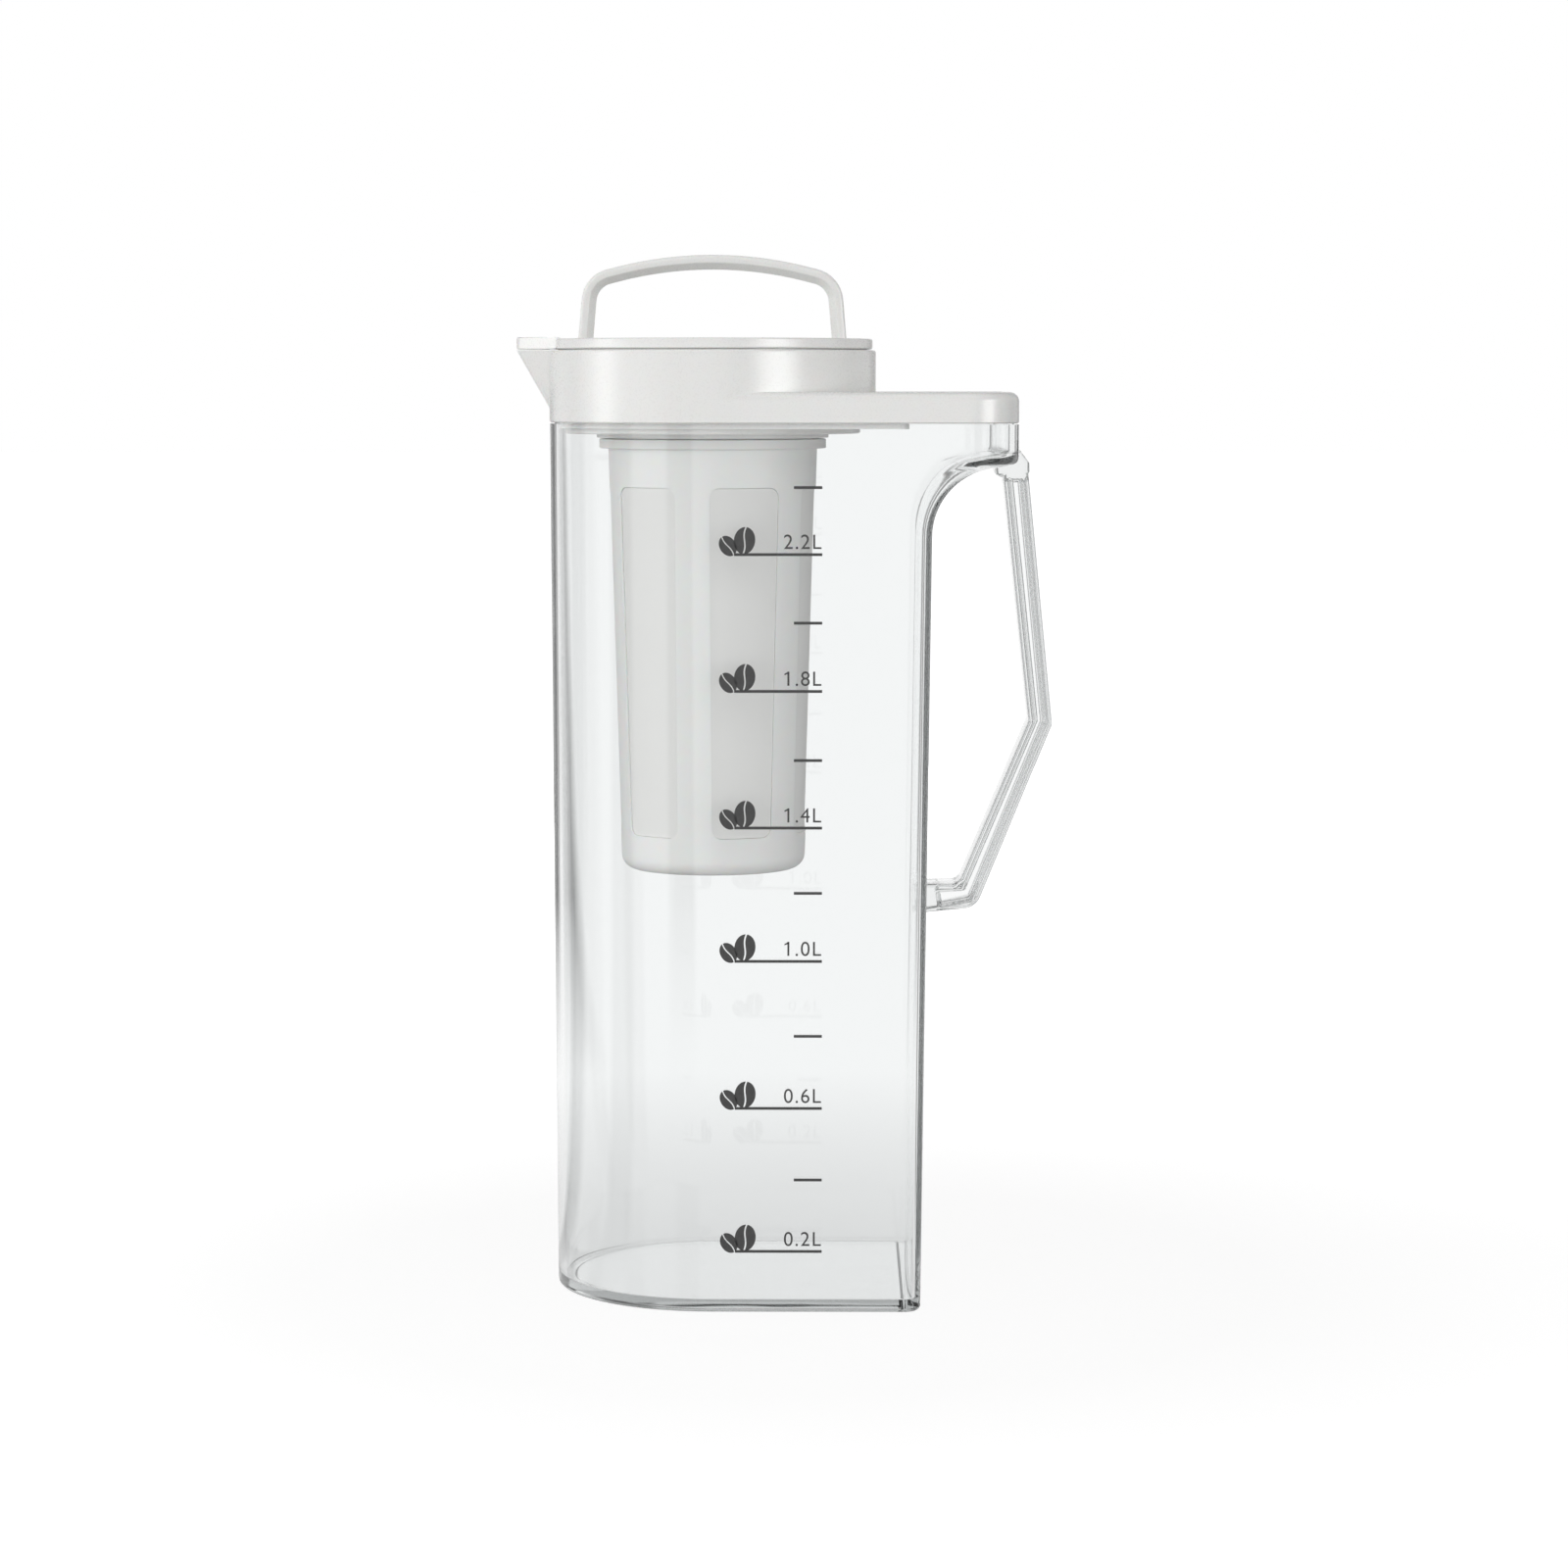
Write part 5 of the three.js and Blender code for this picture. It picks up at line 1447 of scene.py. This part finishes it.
class PITCHER_OT_stage(bpy.types.Operator):
    """Makes the floor, the soft light and the camera"""

    bl_idname = "pitcher.stage"
    bl_label = "Stage"

    def execute(self, context):
        stage = context.scene.pitcher.stage
        scene = context.scene
        scene.view_settings.view_transform = "Standard"
        # light runs along inside the clear walls and mirrors many times before it comes out
        for limit in ("max_bounces", "glossy_bounces", "transmission_bounces"):
            setattr(scene.cycles, limit, stage.bounces)
        place = (AXIS_X, 0, -stage.floor_drop)
        floor = add(bpy.ops.mesh.primitive_plane_add, size=stage.floor_side, location=place)
        floor.name = "studio_floor"
        floor.data.materials.append(self.floor_finish(stage))
        self.light_world(scene, stage)
        # places and sizes in metres; the strip draws only a highlight, and lamps without sheen draw none
        self.lamp(stage, "side_lamp", (-1.17, -0.25, 0.30), (0.38, 1.0))
        self.lamp(stage, "strip_lamp", (0.86, -0.82, 0.30), (0.55, 0.9), matt=False)
        self.lamp(stage, "fill_lamp", (0.08, -1.6, 0.6), (1.2, 1.2), sheen=False, but=HANDLE)
        self.lamp(stage, "high_lamp", (0.08, -1.45, 1.15), (1.0, 0.6), sheen=False, only=HANDLE)
        self.lamp(stage, "back_lamp", (0.1, 1.6, 0.6), (1.2, 1.2), sheen=False)
        self.lamp(stage, "low_lamp", (0.0, -1.5, 0.06), (1.2, 0.5), sheen=False, but=HANDLE)
        self.lamp(stage, "top_lamp", (0.1, -0.35, 1.3), (1.0, 1.0))
        begin()
        bpy.ops.object.camera_add(
            location=(AXIS_X + stage.aside, -stage.distance, stage.height),
            rotation=(math.pi / 2 - stage.pitch, 0, stage.yaw),
        )
        camera = bpy.context.object
        camera.name = "photo_camera"
        camera.data.sensor_width = stage.sensor
        camera.data.lens = stage.lens
        camera.data.clip_start = stage.nearest
        scene.camera = camera
        return {"FINISHED"}

    def lamp(self, stage, name, place, size, matt=True, sheen=True, only=(), but=()):
        """Lamp that faces the jug, with the power set under its name; only and but name what it lights."""
        begin()
        bpy.ops.object.light_add(type="AREA", location=place)
        lamp = bpy.context.object
        lamp.name = name
        aim = Vector((AXIS_X + stage.aim_aside, 0, stage.aim_height)) - Vector(place)
        lamp.rotation_euler = aim.to_track_quat("-Z", "Y").to_euler()
        lamp.data.shape = "RECTANGLE"
        lamp.data.size, lamp.data.size_y = size
        lamp.data.energy = getattr(stage, name)
        lamp.visible_diffuse = matt
        lamp.visible_glossy = sheen
        # the clear pieces mirror the white backdrop alone, and no lamp
        for piece in only or ("clear_jug", "clear_side_handle", *but):
            bpy.data.objects[piece].select_set(True)
        bpy.ops.object.light_linking_receivers_link(link_state="INCLUDE" if only else "EXCLUDE")

    def flags(self, tree, place, stage):
        """Grey level by direction from the object: white, with eight flags between the main views."""
        way = add_node(tree, "ShaderNodeSeparateXYZ", {0: place}).outputs
        turn = add_node(tree, "ShaderNodeMath", {0: way["X"], 1: way["Y"]}, operation="ARCTAN2")
        aside = add_node(tree, "ShaderNodeMath", {0: turn}, operation="ABSOLUTE")
        eighths = add_node(tree, "ShaderNodeMath", {0: aside, 1: FLAG_COUNT / TURN}, operation="MULTIPLY")
        share = add_node(tree, "ShaderNodeMath", {0: eighths}, operation="FRACT")
        open_share = add_node(tree, "ShaderNodeValToRGB", {"Fac": share})
        ramp = open_share.color_ramp
        ramp.elements[0].color = WHITE
        # a flag takes up the middle of its eighth and has soft edges
        for position, color in ((0.27, WHITE), (0.33, BLACK), (0.67, BLACK), (0.73, WHITE)):
            ramp.elements.new(position).color = color
        # the level of the flags changes over the middle, from left to right
        sides = {"From Min": -0.5, "From Max": 0.5, "To Min": stage.left_flag, "To Max": stage.right_flag}
        flag = add_node(tree, "ShaderNodeMapRange", {"Value": way["X"], **sides})
        return add_node(tree, "ShaderNodeMapRange", {"Value": open_share, "To Min": flag, "To Max": 1.0})

    def clear_rays(self, tree):
        """Kinds of rays, and the rays that clear plastic has bent or mirrored."""
        path = add_node(tree, "ShaderNodeLightPath").outputs
        kinds = {0: path["Is Glossy Ray"], 1: path["Is Transmission Ray"]}
        return path, add_node(tree, "ShaderNodeMath", kinds, operation="MAXIMUM")

    def floor_finish(self, stage):
        """White paper sweep: it vanishes into the backdrop and keeps the object's shadow."""
        material = new_material("white_paper_sweep")
        tree = material.node_tree
        place = add_node(tree, "ShaderNodeTexCoord").outputs["Object"]
        # paper tooth of about 2 mm
        tooth = add_node(tree, "ShaderNodeTexNoise", {"Vector": place, "Scale": 1 / (2 * MM)})
        shades = {"Factor": tooth, 6: linear("BABABA"), 7: linear("B5B5B5")}
        shade = add_node(tree, "ShaderNodeMix", shades, data_type="RGBA").outputs[2]
        paper = add_node(tree, "ShaderNodeBsdfDiffuse", {"Color": shade})
        path, clear = self.clear_rays(tree)
        out = add_node(tree, "ShaderNodeVectorMath", {0: place}, operation="LENGTH").outputs["Value"]
        # the lamps fade outwards, so the glow grows from 0.15 m to 0.9 m
        growth = {"From Min": 0.15, "From Max": 0.9, "To Min": stage.floor_glow, "To Max": 1.0}
        even = add_node(tree, "ShaderNodeMapRange", {"Value": out, **growth})
        seen = add_node(tree, "ShaderNodeMath", {0: path["Is Camera Ray"], 1: even}, operation="MULTIPLY")
        glow = add_node(tree, "ShaderNodeEmission", {"Color": WHITE, "Strength": seen})
        lit = add_node(tree, "ShaderNodeAddShader", {0: paper, 1: glow})
        # the flags stand on the floor from 0.4 m outwards, and nearer to the left and the right
        far = add_node(tree, "ShaderNodeMapRange", {"Value": out, "From Min": 0.4, "From Max": 1.0})
        beside = add_node(tree, "ShaderNodeMapRange", {"Value": out, "From Min": 0.06, "From Max": 0.2})
        depth = add_node(tree, "ShaderNodeSeparateXYZ", {0: place}).outputs["Y"]
        depth = add_node(tree, "ShaderNodeMath", {0: depth}, operation="ABSOLUTE")
        depth = add_node(tree, "ShaderNodeMath", {0: depth, 1: out}, operation="DIVIDE")
        sides = {"Value": depth, "From Min": 0.8, "From Max": 0.6, "To Max": beside}
        aside = add_node(tree, "ShaderNodeMapRange", sides)
        near = add_node(tree, "ShaderNodeMath", {0: far, 1: aside}, operation="MAXIMUM")
        tones = {"Factor": near, 6: WHITE, 7: self.flags(tree, place, stage)}
        tone = add_node(tree, "ShaderNodeMix", tones, data_type="RGBA").outputs[2]
        # painted shadow: the paper that clear plastic shows is darker under the jug and close to it
        shadow = {"From Min": 0.05, "From Max": 0.4, "To Min": stage.under, "To Max": 1.0}
        shaded = add_node(tree, "ShaderNodeMapRange", {"Value": out, **shadow})
        flagged = add_node(tree, "ShaderNodeEmission", {"Color": tone, "Strength": shaded})
        both = add_node(tree, "ShaderNodeMixShader", {0: clear, 1: lit, 2: flagged})
        add_node(tree, "ShaderNodeOutputMaterial", {"Surface": both})
        return material

    def light_world(self, scene, stage):
        """White backdrop, with grey flags at the sides that draw the edges of clear plastic."""
        world = bpy.data.worlds.new("studio")
        scene.world = world
        world.use_nodes = True
        tree = world.node_tree
        tree.nodes.clear()
        direction = add_node(tree, "ShaderNodeTexCoord").outputs["Generated"]
        path, clear = self.clear_rays(tree)
        white = add_node(tree, "ShaderNodeBackground", {"Color": WHITE, "Strength": 1.0})
        way = add_node(tree, "ShaderNodeSeparateXYZ", {0: direction}).outputs
        # what looks up finds a dim ceiling
        ceiling = {"From Min": 0.25, "From Max": 0.55, "To Min": 1.0, "To Max": stage.ceiling}
        dim = add_node(tree, "ShaderNodeMapRange", {"Value": way["Z"], **ceiling})
        flags = self.flags(tree, direction, stage)
        studio = add_node(tree, "ShaderNodeBackground", {"Color": flags, "Strength": dim})
        heights = {"Value": way["Z"], "To Min": stage.sky, "To Max": stage.zenith}
        level = add_node(tree, "ShaderNodeMapRange", heights)
        shares = {"From Min": -1.0, "To Min": stage.left_share, "To Max": stage.right_share}
        across = add_node(tree, "ShaderNodeMapRange", {"Value": way["X"], **shares})
        soft = add_node(tree, "ShaderNodeBackground", {"Color": across, "Strength": level})
        seen = add_node(tree, "ShaderNodeMixShader", {0: clear, 1: soft, 2: studio})
        whole = add_node(tree, "ShaderNodeMixShader", {0: path["Is Camera Ray"], 1: seen, 2: white})
        add_node(tree, "ShaderNodeOutputWorld", {"Surface": whole})


OPERATORS = (
    PITCHER_OT_jug,
    PITCHER_OT_side_handle,
    PITCHER_OT_pour_lid,
    PITCHER_OT_cap,
    PITCHER_OT_plug,
    PITCHER_OT_flap,
    PITCHER_OT_carry_handle,
    PITCHER_OT_basket,
    PITCHER_OT_scale,
    PITCHER_OT_gasket,
    PITCHER_OT_stage,
)


class PITCHER_PT_panel(bpy.types.Panel):
    """Lists the pieces of the pitcher in the sidebar"""

    bl_idname = "PITCHER_PT_panel"
    bl_label = "Cold Brew Pitcher"
    bl_space_type = "VIEW_3D"
    bl_region_type = "UI"
    bl_category = "Pitcher"

    def draw(self, context):
        for operator in OPERATORS:
            self.layout.operator(operator.bl_idname)


GROUPS = (
    JugSizes,
    SideHandleSizes,
    PourLidSizes,
    LidSizes,
    CarryHandleSizes,
    BasketSizes,
    ScaleSizes,
    Finishes,
    StageSettings,
    PitcherSettings,
)
CLASSES = GROUPS + OPERATORS + (PITCHER_PT_panel,)


def register():
    for item in CLASSES:
        bpy.utils.register_class(item)
    bpy.types.Scene.pitcher = PointerProperty(type=PitcherSettings)


def unregister():
    del bpy.types.Scene.pitcher
    for item in reversed(CLASSES):
        bpy.utils.unregister_class(item)


def main():
    register()
    bpy.ops.pitcher.jug()
    bpy.ops.pitcher.side_handle()
    bpy.ops.pitcher.pour_lid()
    bpy.ops.pitcher.cap()
    bpy.ops.pitcher.plug()
    bpy.ops.pitcher.flap()
    bpy.ops.pitcher.carry_handle()
    bpy.ops.pitcher.basket()
    bpy.ops.pitcher.scale_print()
    bpy.ops.pitcher.gasket()
    bpy.ops.pitcher.stage()


if __name__ == "__main__":
    main()
